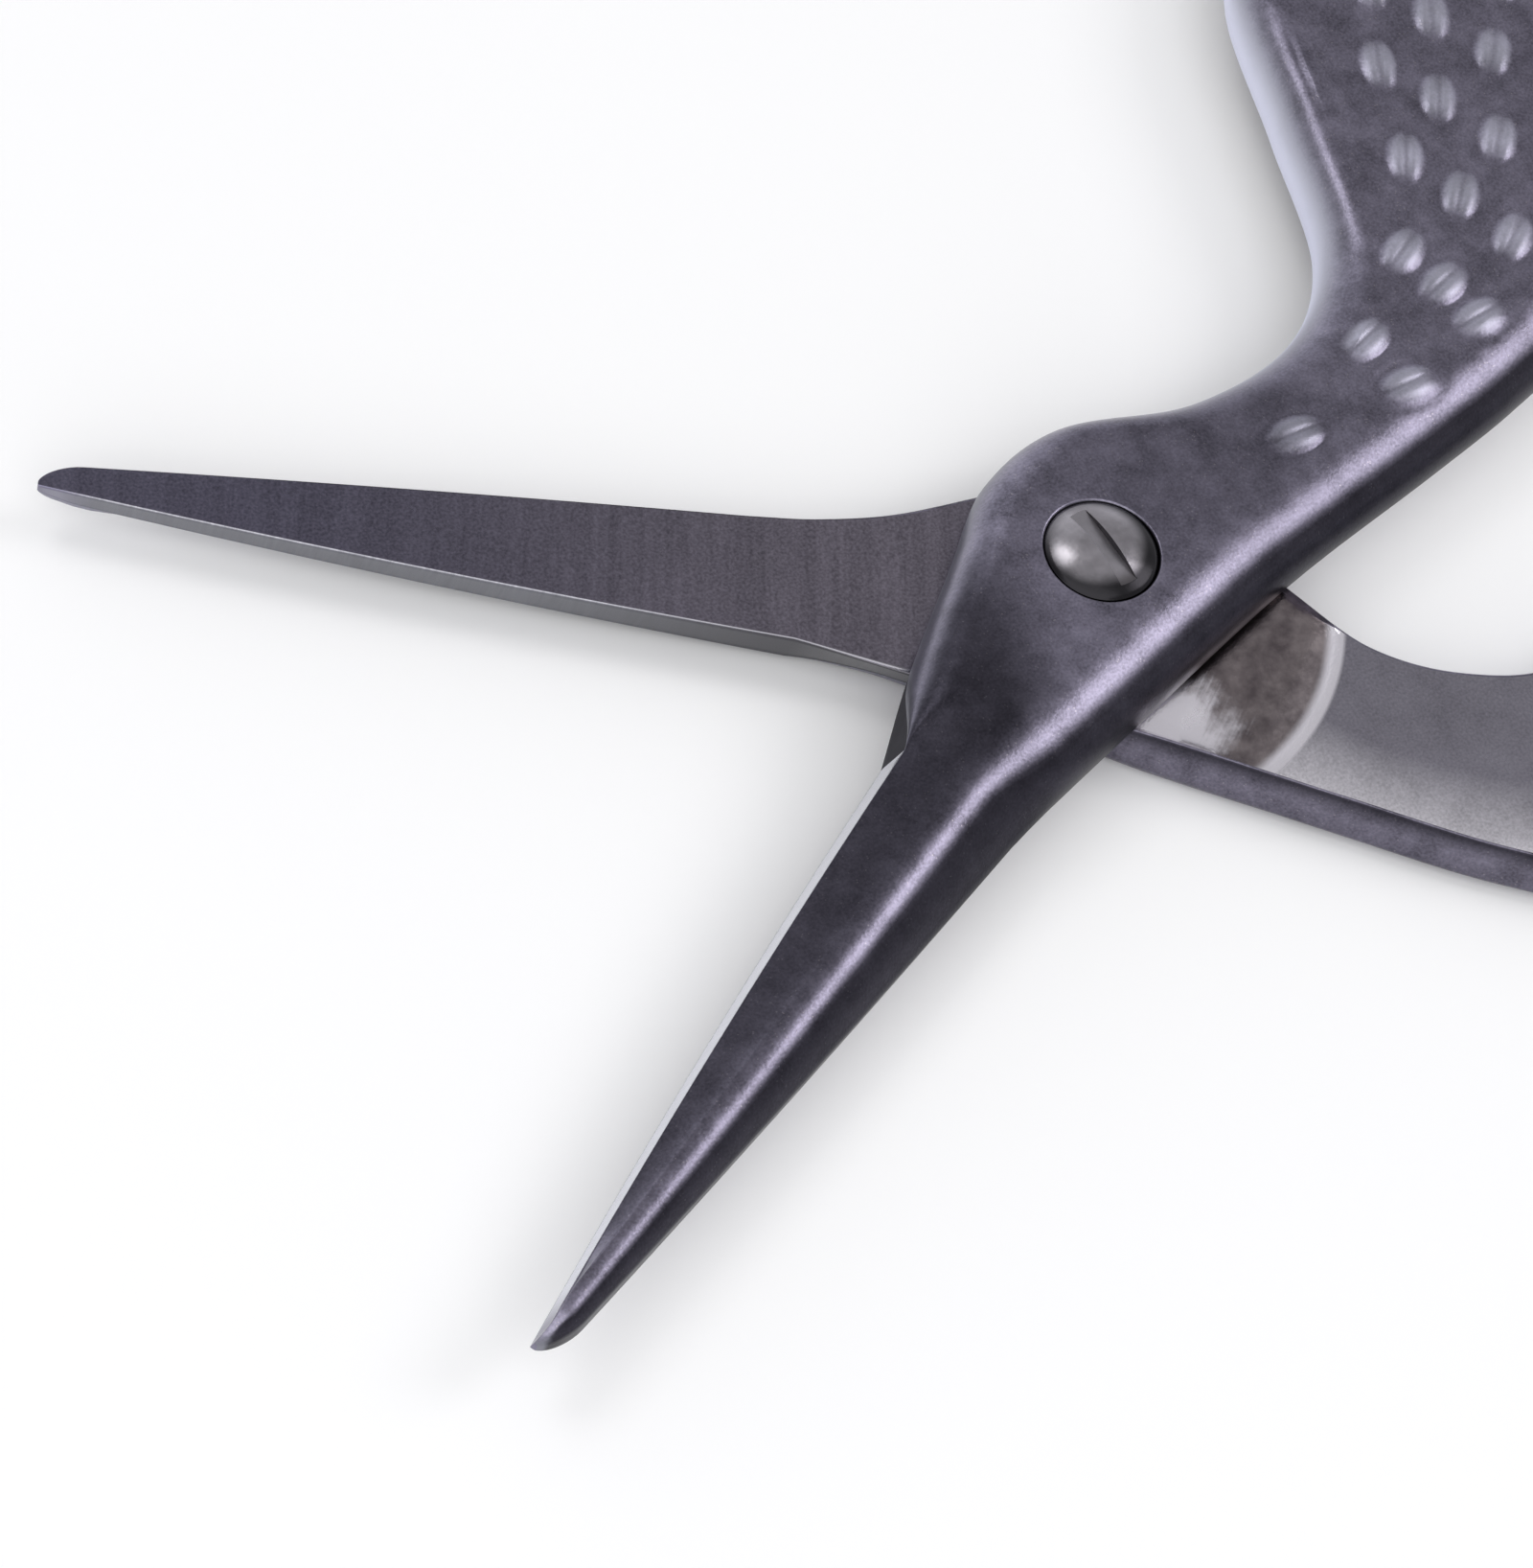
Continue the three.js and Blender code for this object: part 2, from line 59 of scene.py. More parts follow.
# %% [markdown]
# # Stork embroidery scissors
# Two forged halves cross at a slotted screw. The blades are the bird's beak, the screw is its eye, and
# the handles are its feathered body, leg and finger ring. The solids from the frame fix every size. This
# lesson makes finer skins over the same outlines, so that the edges, feathers and finish show close up.

# %% [markdown]
# ## Camera
# The camera looks down on the open blades, a little rolled. A camera object has no "look at" of its own,
# so its matrix is made from three directions: right, up and back. A long lens keeps the near blade from
# growing too large.

# %% Camera at the photo's viewing angle
LOOK_FROM = (222.523, 56.802)  # azimuth and elevation in degrees
CAMERA_ROLL = radians(21.067)
CAMERA_DISTANCE = 201.807 * MM
LOOK_AT = Vector((-15.104, -2.665, 2.5)) * MM
LENS = 132.03  # millimetres
SENSOR = 36
NEAREST = 10 * MM  # nothing closer than this is drawn


def direction(azimuth, elevation):
    """Unit vector towards a camera or lamp, from angles in degrees."""
    turn, rise = radians(azimuth), radians(elevation)
    return Vector((cos(turn) * cos(rise), sin(turn) * cos(rise), sin(rise)))


def add_object(name, data):
    item = bpy.data.objects.new(name, data)
    bpy.context.scene.collection.objects.link(item)
    return item


back = direction(*LOOK_FROM)
right = Vector((0, 0, 1)).cross(back).normalized()
facing = Matrix((right, back.cross(right), back)).transposed()
camera_data = bpy.data.cameras.new("camera")
camera_data.lens = LENS
camera_data.sensor_width = SENSOR
camera_data.clip_start = NEAREST
camera = add_object("camera", camera_data)
turned = facing @ Matrix.Rotation(CAMERA_ROLL, 3, "Z")
camera.matrix_world = Matrix.Translation(LOOK_AT + back * CAMERA_DISTANCE) @ turned.to_4x4()
bpy.context.scene.camera = camera
print("camera at", [round(c / MM) for c in camera.location], "mm")

# %% [markdown]
# ## Outline of a half
# Each half is drawn lying along X with its blade towards -X, its finger ring on the +Y side and its joint
# face at z = 0. Two lines bound it in plan, one on the ring side and one on the far side. A smooth curve
# through a few listed points gives the line's offset at any distance from the pivot, so the skin can
# later be as fine as we like.

# %% Smooth lines along the half
TIP_REACH = 38  # pivot to blade tip
TIP_WIDTH = 0.9
EDGE_BELLY = 0.2  # bow of the cutting edge
SPINE_BELLY = 0.1
LEG_START = 48
LEG_WIDTH = 2.9
RING_REACH = 59.5  # pivot to the ring's centre
RING_LENGTH = 25
RING_WIDTH = 23
RING_BAR = 3.2
RING_GAP = 0.4  # between the rings when closed
LEG_LINE = (RING_GAP + RING_BAR) / 2
LEG_END = RING_REACH - RING_BAR / 2
RING_LINE = LEG_LINE + (RING_WIDTH - RING_BAR) / 2


def mix(a, b, t):
    return a + (b - a) * t


def clamp(t):
    return min(max(t, 0), 1)


def ease(t):
    """0 to 1 with a soft start and end."""
    t = clamp(t)
    return t * t * (3 - 2 * t)


def fade(value, start, end):
    """The same, as value goes from start to end."""
    return ease((value - start) / (end - start))


def track(points):
    """Smooth curve through points, as a function of the first coordinate."""
    slopes = []
    for i in range(len(points)):
        before = points[max(i - 1, 0)]
        after = points[min(i + 1, len(points) - 1)]
        slopes.append((after[1] - before[1]) / (after[0] - before[0]))

    def curve(x):
        i = 0
        while i < len(points) - 2 and x > points[i + 1][0]:
            i += 1
        span = points[i + 1][0] - points[i][0]
        t = clamp((x - points[i][0]) / span)
        rest = 1 - t
        start = points[i][1] * rest * rest * (1 + 2 * t) + slopes[i] * span * t * rest * rest
        end = points[i + 1][1] * t * t * (3 - 2 * t) - slopes[i + 1] * span * t * t * rest
        return start + end

    return curve


def side_line(tip_offset, heel, belly, points, leg_offset):
    """A bowed blade line from tip to heel, then a smooth line to the leg."""
    handle = track([heel, *points, (LEG_START, leg_offset), (LEG_END, leg_offset)])

    def line(x):
        if x > heel[0]:
            return handle(x)
        t = (x + TIP_REACH) / (TIP_REACH + heel[0])
        return mix(tip_offset, heel[1], t) + 4 * belly * t * (1 - t)

    return line


class Outline:
    """The two lines that bound a half, and what sets it apart from the other half.

    The cutting edge runs from tip_offset to heel, and the blade's back ends at spine. The bevel is ground as
    far as ground_end, and the head's full round begins at head_start. edge changes the sections on the ring
    side, and lean is how far the wall there leans in.
    """

    def __init__(self, tip_offset, heel, spine, ground_end, head_start, ring_side, far_side, edge, lean):
        self.heel = heel[0]
        self.ground_end = ground_end
        self.head_start = head_start
        self.edge = edge
        self.lean = track([(self.heel, 0), *lean, (LEG_START, 0)])
        self.ring = side_line(tip_offset, heel, EDGE_BELLY, ring_side, LEG_LINE + LEG_WIDTH / 2)
        self.far = side_line(tip_offset - TIP_WIDTH, spine, -SPINE_BELLY, far_side, LEG_LINE - LEG_WIDTH / 2)


front_lines = Outline(
    tip_offset=0.1, heel=(-11.5, 2.05), spine=(-11.5, -3.35), ground_end=-11.5, head_start=-8,
    ring_side=[
        (-7.7, 3.2), (-2.5, 4.4), (0.6, 5.05), (4.2, 4.25), (9, 0.7), (13.9, -0.9),
        (18.2, 0.15), (22.4, 4.3), (27, 8.9), (34, 11.9), (41.5, 8.3),
    ],
    far_side=[
        (-9, -3.67), (-4.1, -4.5), (4.9, -6.1), (13, -8.2), (17.4, -9.25), (22, -9.9), (27, -9.2),
        (34, -5.9), (40, -1.9),
    ],
    edge={}, lean=[],
)
rear_lines = Outline(
    tip_offset=0.3, heel=(-10.8, 3.46), spine=(-12.5, -1.78), ground_end=-5, head_start=-5,
    ring_side=[(-7, 4.25), (1.5, 5.85), (9.4, 7.83), (15.6, 9.32), (23, 10.1), (30, 8.7), (38, 5.4)],
    far_side=[
        (-9.7, -1.98), (-6.8, -2.5), (-2.5, -4.05), (1, -4.8), (4, -3.95), (7.7, -1), (10.7, 1.2),
        (14.3, 1.9), (18, 1.1), (22.9, -3), (28, -7.7), (34.5, -10.5), (40.5, -7.2),
    ],
    edge=dict(wall=1.8, round=0.7, roll=0.15),  # a tall wall and a worn joint edge
    lean=[(-9.3, 0.3), (-7, 0.6), (-3, 0.4), (3, -0.3), (30, -0.3)],
)
print("width over the pivot", round(front_lines.ring(0) - front_lines.far(0), 2), "mm")

# %% [markdown]
# ## Sections
# Seen end on, a half changes from a thin ridged blade to a thick rounded head, a flatter body and an oval
# leg. A few named sections hold those sizes, and the ones between are mixed from their neighbours.
# `crest` tells how the far side falls from the outer face to the spine: at 0 it is a round shoulder, at 1
# a blade's ridge.

# %% Sections from blade to leg
HALF_THICKNESS = 2.5  # joint plane to outer face
JOINT_FACE = 0.05  # each joint face stands this far off the joint plane
BODY_THICKNESS = 2.3
LEG_ROUND = 1.4
LEG_DROP = 4  # length over which the leg grows past the joint plane
NECK_START = 4
BODY_START = 8
EDGE_LAND = 0.05  # blunt land of every sharp edge
TIP_BEVEL = 0.28  # plan width of the ground bevel
HEEL_BEVEL = 0.5
TIP_ROUND = 1.6  # length of the rounded nose
NOSE_HEIGHT = 0.15  # share of the blade's height left at the end of the nose
BEVEL_SHARE = 1 / 3  # most of a narrow blade's width that the bevel takes

blade_tip = dict(
    inset=TIP_BEVEL, wall=1.1, round=TIP_BEVEL + EDGE_LAND, top=1.13, ridge=0.8, height=1.35,
    foot=0.9, hollow=0, drop=0, roll=0, ring_ease=EDGE_LAND, far_ease=EDGE_LAND, crest=0.6,
)
blade_heel = dict(
    inset=HEEL_BEVEL, wall=2, round=HEEL_BEVEL + EDGE_LAND, top=2.03, ridge=2.8, height=2.4,
    foot=0.4, hollow=0.25, drop=0, roll=0, ring_ease=EDGE_LAND, far_ease=EDGE_LAND, crest=1,
)
head = dict(
    inset=0, wall=0.8, round=1.7, top=HALF_THICKNESS, ridge=2.8, height=HALF_THICKNESS, foot=0.25,
    hollow=0, drop=0, roll=0, ring_ease=0.15, far_ease=0.15, crest=0,
)
body = dict(head, wall=0.4, round=2.2, top=BODY_THICKNESS, height=BODY_THICKNESS)
leg_wall = BODY_THICKNESS - LEG_ROUND
leg_top = dict(body, wall=leg_wall, foot=leg_wall, round=LEG_ROUND, ridge=LEG_ROUND, roll=0)
leg = dict(leg_top, drop=BODY_THICKNESS, ring_ease=LEG_ROUND, far_ease=LEG_ROUND)


def section_at(x, lines):
    own_head, own_body = dict(head, **lines.edge), dict(body, **lines.edge)
    sections = [
        (-TIP_REACH, blade_tip), (lines.heel, blade_heel), (lines.head_start, own_head),
        (NECK_START, own_head), (BODY_START, own_body), (LEG_START - LEG_DROP, own_body),
        (LEG_START, leg_top), (LEG_START + LEG_DROP, leg), (LEG_END, leg),
    ]
    i = 0
    while i < len(sections) - 2 and x > sections[i + 1][0]:
        i += 1
    (start, first), (end, second) = sections[i], sections[i + 1]
    share = (x - start) / (end - start)
    t = share if second is blade_heel else ease(share)
    section = {key: mix(first[key], second[key], t) for key in first}
    section["inset"] += lines.lean(x)
    section["round"] += lines.lean(x)
    return section


print("ridge height at the heel", section_at(front_lines.heel, front_lines)["height"], "mm")

# %% [markdown]
# ## Feathers
# The bird's feathers are raised ovals with a groove down the middle, like coffee beans, in rows round the
# pivot. Real ones are struck into the forging, so they belong to its surface. Instead of adding loose
# ovals, a height is worked out for every point of the skin, which keeps one closed shape. One long slim
# ridge marks the wing's edge.

# %% Height of the feathers at a point
FEATHER_LENGTH = 2.8
FEATHER_WIDTH = 1.7
FEATHER_RISE = 0.2
FEATHER_FULL = 1.25  # power that shapes its rise: less is fuller
FEATHER_FADE = 0.6  # they die out this far down the shoulder
FEATHER_GROOVE = 0.1
GROOVE_WIDTH = 0.2
MOAT_DEPTH = 0.04
MOAT_FROM, MOAT_REACH = 0.55, 1.45  # of the oval's own size
FEATHER_ROWS = [  # distance from the pivot, first place across, step across, count, turn in degrees
    (9.9, 0.51, 0, 1, -28), (15.2, 0.38, 0.31, 2, -18), (19.6, 0.32, 0.17, 3, -10), (23.5, 0.29, 0.16, 3, 18),
    (26.9, 0.2, 0.15, 4, 24), (30.4, 0.22, 0.15, 4, 26), (33.9, 0.2, 0.16, 4, 20), (37.3, 0.26, 0.17, 3, 5),
]
FEATHER_FAN = 60  # degrees that the feathers turn from one side of the body to the other
WING_PLACE = 24.55  # middle of the wing's edge, from the pivot
WING_HALF_LENGTH = 4
WING_HALF_WIDTH = 0.65
WING_RISE = 0.1
WING_TURN = radians(52)
FRONT_HUMP = (4.0, 1)  # offset of the wing's edge, and which side the bird's back is on
REAR_HUMP = (-2.1, -1)


def feather_places(lines, side):
    """Centre and turn of every feather, as (along, across, turn). side is the bird's back, 1 or -1."""
    places = []
    for reach, first, step, count, row_turn in FEATHER_ROWS:
        for i in range(count):
            share = first + step * i
            from_far = share if side > 0 else 1 - share
            along = sqrt(reach ** 2 - mix(lines.far(reach), lines.ring(reach), from_far) ** 2)
            across = mix(lines.far(along), lines.ring(along), from_far)
            fan = FEATHER_FAN * (share - first - step * (count - 1) / 2)
            places.append((along, across, side * radians(row_turn + fan)))
    return places


def oval_distance(x, y, centre_x, centre_y, turn, half_length, half_width):
    """(distance in oval radii, offset from the long axis) of a point."""
    dx, dy = x - centre_x, y - centre_y
    along = dx * cos(turn) + dy * sin(turn)
    across = dy * cos(turn) - dx * sin(turn)
    return hypot(along / half_length, across / half_width), across


def feather_height(places, x, y):
    height = 0
    for along, across, turn in places:
        if abs(x - along) > MOAT_REACH * FEATHER_LENGTH / 2:
            continue
        d, offset = oval_distance(x, y, along, across, turn, FEATHER_LENGTH / 2, FEATHER_WIDTH / 2)
        if d < 1:
            groove = exp(-(offset / GROOVE_WIDTH) ** 2) * (1 - d ** 2)
            height += FEATHER_RISE * (1 - d ** 2) ** FEATHER_FULL - FEATHER_GROOVE * groove
        if d < MOAT_REACH:
            across_moat = clamp((d - MOAT_FROM) / (MOAT_REACH - MOAT_FROM))
            height -= MOAT_DEPTH * sin(pi * across_moat) ** 2
    return height


def wing_height(hump, x, y):
    offset, back_side = hump
    turn = WING_TURN * back_side
    d, _ = oval_distance(x, y, WING_PLACE, offset, turn, WING_HALF_LENGTH, WING_HALF_WIDTH)
    return WING_RISE * max(1 - d ** 2, 0) ** 2


print("feathers on a half:", len(feather_places(front_lines, 1)))

# %% [markdown]
# ## Points round a section
# One closed ring of points bounds each section: up the bevel or side wall, over the shoulder, across the
# outer face, down the spine side and back along the joint face. Every ring has the same number of points
# in the same order, so a plain grid can be wrapped over them. Behind the pivot the joint face dips into a
# ground recess that ends in a ramp, so that only a small boss rubs.

# %% One ring of points
EASE_POINTS = 5
WALL_POINTS = 6
SHOULDER_POINTS = 18
FACE_POINTS = 84
FOOT_POINTS = 3
JOINT_POINTS = 30
RECESS_DEPTH = 0.35
RECESS_INNER = 3.6  # radius of the bearing boss
RECESS_OUTER = 9.9  # radius where the ramp ends
RECESS_RAMP = 1.8
RECESS_HALF_SWEEP = radians(100)
RECESS_SOFT = 0.3  # width of its other, softer borders
RECESS_WAVE = 0.06  # uneven grinding of its floor
WAVE_OUT, WAVE_ACROSS = 1.5, 0.8  # radians a millimetre
ROLL_WIDTH = 3  # along the ring side the joint face rolls off over this width
MOST_LEAD = 0.25  # limit of the rise past the ridge, near the narrow tip


def between(start, end, across, up):
    return mix(start[0], end[0], across), mix(start[1], end[1], up)


def straight(start, end, count):
    """Points from start towards end, without the end itself."""
    return [between(start, end, i / count, i / count) for i in range(count)]


def rounded(start, end, climbs, count):
    """The same round a corner: climbs leaves the start upwards, otherwise sideways."""
    points = []
    for i in range(count):
        angle = pi / 2 * i / count
        fast, slow = sin(angle), 1 - cos(angle)
        points.append(between(start, end, *((slow, fast) if climbs else (fast, slow))))
    return points


def far_fall(start, end, count, crest, climb):
    """From the outer face, which comes up with the slope climb, down to the spine without a crease."""
    lead = min(climb * (start[0] - end[0]) / (start[1] - end[1]), MOST_LEAD)
    points = []
    for i in range(count):
        share = i / count
        across = mix(sin(pi / 2 * share), share, crest)
        down = mix(1 - cos(pi / 2 * share), share ** 2 * (1 + lead) - share * lead, crest)
        points.append(between(start, end, across, down))
    return points


def recess_depth(x, y):
    reach = hypot(x, y)
    inner = fade(reach, RECESS_INNER, RECESS_INNER + RECESS_SOFT)
    outer = fade(reach, RECESS_OUTER, RECESS_OUTER - RECESS_RAMP)
    swept = ease((RECESS_HALF_SWEEP - abs(atan2(y, x))) * reach / RECESS_SOFT)
    wave = RECESS_WAVE * sin(WAVE_OUT * reach + WAVE_ACROSS * y)
    return (RECESS_DEPTH + wave) * inner * outer * swept


def section_ring(lines, places, hump, x):
    nose = clamp((x + TIP_REACH) / TIP_ROUND)
    fullness = sqrt(1 - (1 - nose) ** 2)
    ring = lines.ring(x)
    width = (ring - lines.far(x)) * fullness
    far = ring - width
    most = width * BEVEL_SHARE
    s = section_at(x, lines)
    lift = mix(NOSE_HEIGHT, 1, fullness)
    land = min(EDGE_LAND, most) / 2
    round_inset = min(s["round"], most)
    inset = min(s["inset"], round_inset - land / 2)
    ridge = min(s["ridge"], width - round_inset - land)
    low = JOINT_FACE - s["drop"]
    far_low = low + s["hollow"]
    ring_low = low + s["roll"]
    ring_ease, far_ease = min(s["ring_ease"], most), min(s["far_ease"], most)
    wall_foot = (ring, ring_low + ring_ease)
    wall_top = (ring - inset, lift * s["wall"])
    face_start = (ring - round_inset, lift * s["top"])
    face_end = (far + ridge, lift * s["height"])
    spine = (far, lift * s["foot"])
    spine_foot = (far, far_low + far_ease)
    joint_start = (far + far_ease, far_low)
    joint_end = (ring - ring_ease, low)
    points = rounded((joint_end[0], ring_low), wall_foot, False, EASE_POINTS)
    points += straight(wall_foot, wall_top, WALL_POINTS)
    points += rounded(wall_top, face_start, True, SHOULDER_POINTS)
    outer = straight(face_start, face_end, FACE_POINTS)
    climb = (face_end[1] - face_start[1]) / (face_start[0] - face_end[0])
    outer += far_fall(face_end, spine, SHOULDER_POINTS, s["crest"], climb)
    for y, z in outer:
        relief = feather_height(places, x, y) + wing_height(hump, x, y)
        points.append((y, z + clamp(1 - (face_end[1] - z) / FEATHER_FADE) * relief))
    points += straight(spine, spine_foot, FOOT_POINTS)
    points += rounded(spine_foot, joint_start, True, EASE_POINTS)
    for y, z in straight(joint_start, joint_end, JOINT_POINTS):
        roll = s["roll"] * clamp(1 - (joint_end[0] - y) / ROLL_WIDTH) ** 2
        points.append((y, z + roll + recess_depth(x, y)))
    return [(x, y, z) for y, z in points]


ring_size = len(section_ring(front_lines, [], FRONT_HUMP, 0))
print("points round a section:", ring_size)

# %% [markdown]
# ## Skin of a half
# A flat grid from `create_grid` has a column for each section and a row for each point of the ring. Moving
# its points to their places rolls the sheet into a tube. Merging doubles closes the seam along it, and
# filling the holes caps both ends. The columns lie closest where the feathers are. The bevel and the
# joint face get their own material slots here, while the grid still knows which face is which.

# %% Grid rolled into a half
NOSE_SHARES = (0.03, 0.06, 0.1, 0.17, 0.25, 0.35, 0.46, 0.58, 0.72, 0.86)
FEATHER_END = 41
SPACINGS = (0.4, 0.22, 0.15, 0.35)  # of the sections along blade, head, feathers and leg
BLACKENED, GROUND, JOINT, EDGE, RICASSO_SHADE = range(5)  # material slots of a half
SEAM_GAP = 1e-6


def stations(heel):
    places = [-TIP_REACH + TIP_ROUND * share for share in NOSE_SHARES]
    limits = (-TIP_REACH + TIP_ROUND, heel, BODY_START, FEATHER_END, LEG_END)
    for start, end, spacing in zip(limits, limits[1:], SPACINGS):
        count = round((end - start) / spacing)
        places += [mix(start, end, i / count) for i in range(count)]
    return places + [LEG_END]


def half_skin(lines, hump):
    columns = stations(lines.heel)
    places = feather_places(lines, hump[1])
    rings = [section_ring(lines, places, hump, x) for x in columns]
    bm = bmesh.new()
    bmesh.ops.create_grid(bm, x_segments=len(columns) - 1, y_segments=ring_size, size=1)

    def grid_place(point, whole):
        """(column, row) on the flat grid, which goes from -1 to 1. whole rounds them."""
        return whole((point.x + 1) / 2 * (len(columns) - 1)), whole((point.y + 1) / 2 * ring_size)

    bevel_rows = range(EASE_POINTS, EASE_POINTS + WALL_POINTS)
    joint_rows = range(ring_size - JOINT_POINTS, ring_size)
    for face in bm.faces:
        column, row = grid_place(face.calc_center_median(), int)
        x = columns[column]
        if row in joint_rows and x < LEG_START:
            face.material_index = JOINT
        if row in bevel_rows and x < lines.head_start:
            # the wall between the ground bevel and the head gets the slot of painted shade
            face.material_index = GROUND if x < lines.ground_end else RICASSO_SHADE
        if row < EASE_POINTS and x < lines.ground_end:
            face.material_index = EDGE
    for vert in bm.verts:
        column, row = grid_place(vert.co, round)
        vert.co = rings[column][row % ring_size]
    bmesh.ops.remove_doubles(bm, verts=bm.verts, dist=SEAM_GAP)
    bmesh.ops.holes_fill(bm, edges=[edge for edge in bm.edges if edge.is_boundary], sides=0)
    bmesh.ops.recalc_face_normals(bm, faces=bm.faces)
    return bm


def as_object(bm, name):
    mesh = bpy.data.meshes.new(name)
    bm.to_mesh(mesh)
    bm.free()
    return add_object(name, mesh)


front_half = as_object(half_skin(front_lines, FRONT_HUMP), "front_half_skin")
rear_half = as_object(half_skin(rear_lines, REAR_HUMP), "rear_half_skin")
print("skin faces:", len(front_half.data.polygons), len(rear_half.data.polygons))

# %% [markdown]
# ## Finger rings
# An oval ring with a bar of even width. A circle stood on edge and spun once round makes a torus, and its
# points are then moved out to the oval. The ring is joined to the leg with a Boolean, which leaves a hard
# crease. A forged ring flows into its leg, so the points near the crease are smoothed, the nearest most.

# %% Ring, joined to its leg
RING_STEPS = 168
BAR_STEPS = 48
RING_SKIN = 0.02  # the ring stays this far inside its coarser solid
CREASE_ANGLE = radians(20)
CREASE_REACHES = (2.4, 1.8, 1.2)  # distance from the crease that each round smooths
CREASE_ROUNDS = 8
CREASE_PULL = 0.5  # how far a point goes to the middle of its neighbours
ALL_AXES = dict(use_axis_x=True, use_axis_y=True, use_axis_z=True)


def finger_ring():
    bm = bmesh.new()
    bmesh.ops.create_circle(bm, segments=BAR_STEPS, radius=1)
    stand = Matrix.Translation((RING_WIDTH, 0, 0)) @ Matrix.Rotation(pi / 2, 4, "X")
    bar = Matrix.Diagonal((RING_BAR / 2, HALF_THICKNESS, 1, 1))
    bmesh.ops.transform(bm, matrix=stand @ bar, verts=bm.verts)
    loop = bm.verts[:] + bm.edges[:]
    bmesh.ops.spin(bm, geom=loop, axis=(0, 0, 1), angle=2 * pi, steps=RING_STEPS, use_merge=True)
    half_length = (RING_LENGTH - RING_BAR) / 2 - RING_SKIN
    half_width = (RING_WIDTH - RING_BAR) / 2 - RING_SKIN
    for vert in bm.verts:
        angle = atan2(vert.co.y, vert.co.x)
        out = hypot(vert.co.x, vert.co.y) - RING_WIDTH
        vert.co.x = RING_REACH + (half_length + out) * cos(angle)
        vert.co.y = RING_LINE + (half_width + out) * sin(angle)
    bmesh.ops.recalc_face_normals(bm, faces=bm.faces)
    return bm


def boolean(piece, shape, operation):
    """Join or cut piece with a shape, and keep the result in piece's own mesh."""
    tool = as_object(shape, "tool")
    modifier = piece.modifiers.new("boolean", "BOOLEAN")
    modifier.operation = operation
    modifier.object = tool
    modifier.solver = "EXACT"
    finished = piece.evaluated_get(bpy.context.evaluated_depsgraph_get())
    mesh = bpy.data.meshes.new_from_object(finished)
    piece.modifiers.clear()
    piece.data = mesh
    bpy.data.objects.remove(tool)


def soften_crease(piece):
    bm = bmesh.new()
    bm.from_mesh(piece.data)
    tree = KDTree(len(bm.verts))
    crease = [
        vert for edge in bm.edges for vert in edge.verts
        if vert.co.x > LEG_START and edge.calc_face_angle(0) > CREASE_ANGLE
    ]
    for i, vert in enumerate(crease):
        tree.insert(vert.co, i)
    tree.balance()
    on_leg = [vert for vert in bm.verts if vert.co.x > LEG_START - LEG_DROP]
    nearness = [(tree.find(vert.co)[2], vert) for vert in on_leg]
    for reach in CREASE_REACHES:
        near = [vert for distance, vert in nearness if distance < reach]
        for _ in range(CREASE_ROUNDS):
            bmesh.ops.smooth_vert(bm, verts=near, factor=CREASE_PULL, **ALL_AXES)
    bm.to_mesh(piece.data)
    bm.free()
    return len(crease)


for half in (front_half, rear_half):
    boolean(half, finger_ring(), "UNION")
    print(half.name, "crease points softened:", soften_crease(half))

# %% [markdown]
# ## Pivot holes
# The front half is counterbored for the screw's head and drilled for its shank. The rear half has the
# tapped hole. Each cutter is a profile spun round the pivot. The counterbore's mouth flares out in a small
# round, because a worn edge shows as a bright lip.

# %% Cutters for the bores
SPIN_STEPS = 96
SHANK_BORE = 1.28  # radii
COUNTERBORE = 2.15
TAPPED_BORE = 1.08
COUNTERBORE_FLOOR = 1.6  # above the joint plane
MOUTH_ROUND = 0.12
CUTTER_REACH = 6
MOUTH_POINTS = 5
AXIS_GAP = 1e-5


def turned_solid(profile):
    """A profile of (radius, height) points, from axis to axis, spun into a closed solid."""
    bm = bmesh.new()
    points = [bm.verts.new((radius, 0, height)) for radius, height in profile]
    line = [bm.edges.new(pair) for pair in zip(points, points[1:])]
    bmesh.ops.spin(bm, geom=points + line, axis=(0, 0, 1), angle=2 * pi, steps=SPIN_STEPS, use_merge=True)
    bmesh.ops.remove_doubles(bm, verts=bm.verts, dist=AXIS_GAP)
    bmesh.ops.recalc_face_normals(bm, faces=bm.faces)
    return bm


bottom, top = (0, -CUTTER_REACH), (0, CUTTER_REACH)
lip = COUNTERBORE + MOUTH_ROUND
mouth_round = rounded((COUNTERBORE, HALF_THICKNESS - MOUTH_ROUND), (lip, HALF_THICKNESS), True, MOUTH_POINTS)
mouth = [bottom, (SHANK_BORE, -CUTTER_REACH), (SHANK_BORE, COUNTERBORE_FLOOR)]
mouth += [(COUNTERBORE, COUNTERBORE_FLOOR), *mouth_round, (lip, HALF_THICKNESS), (lip, CUTTER_REACH), top]
tapped = [bottom, (TAPPED_BORE, -CUTTER_REACH), (TAPPED_BORE, CUTTER_REACH), top]
boolean(front_half, turned_solid(mouth), "DIFFERENCE")
boolean(rear_half, turned_solid(tapped), "DIFFERENCE")
print("faces after boring:", len(front_half.data.polygons), len(rear_half.data.polygons))

# %% [markdown]
# ## Pivot screw
# A domed head with a slot, a plain shank in the front half and a thread in the rear half, with its end
# flush below. The body is a spun profile with a small round at the head's rim. The slot is cut with a box.
# Its floor and walls get their own material slots, picked by which way their faces look.

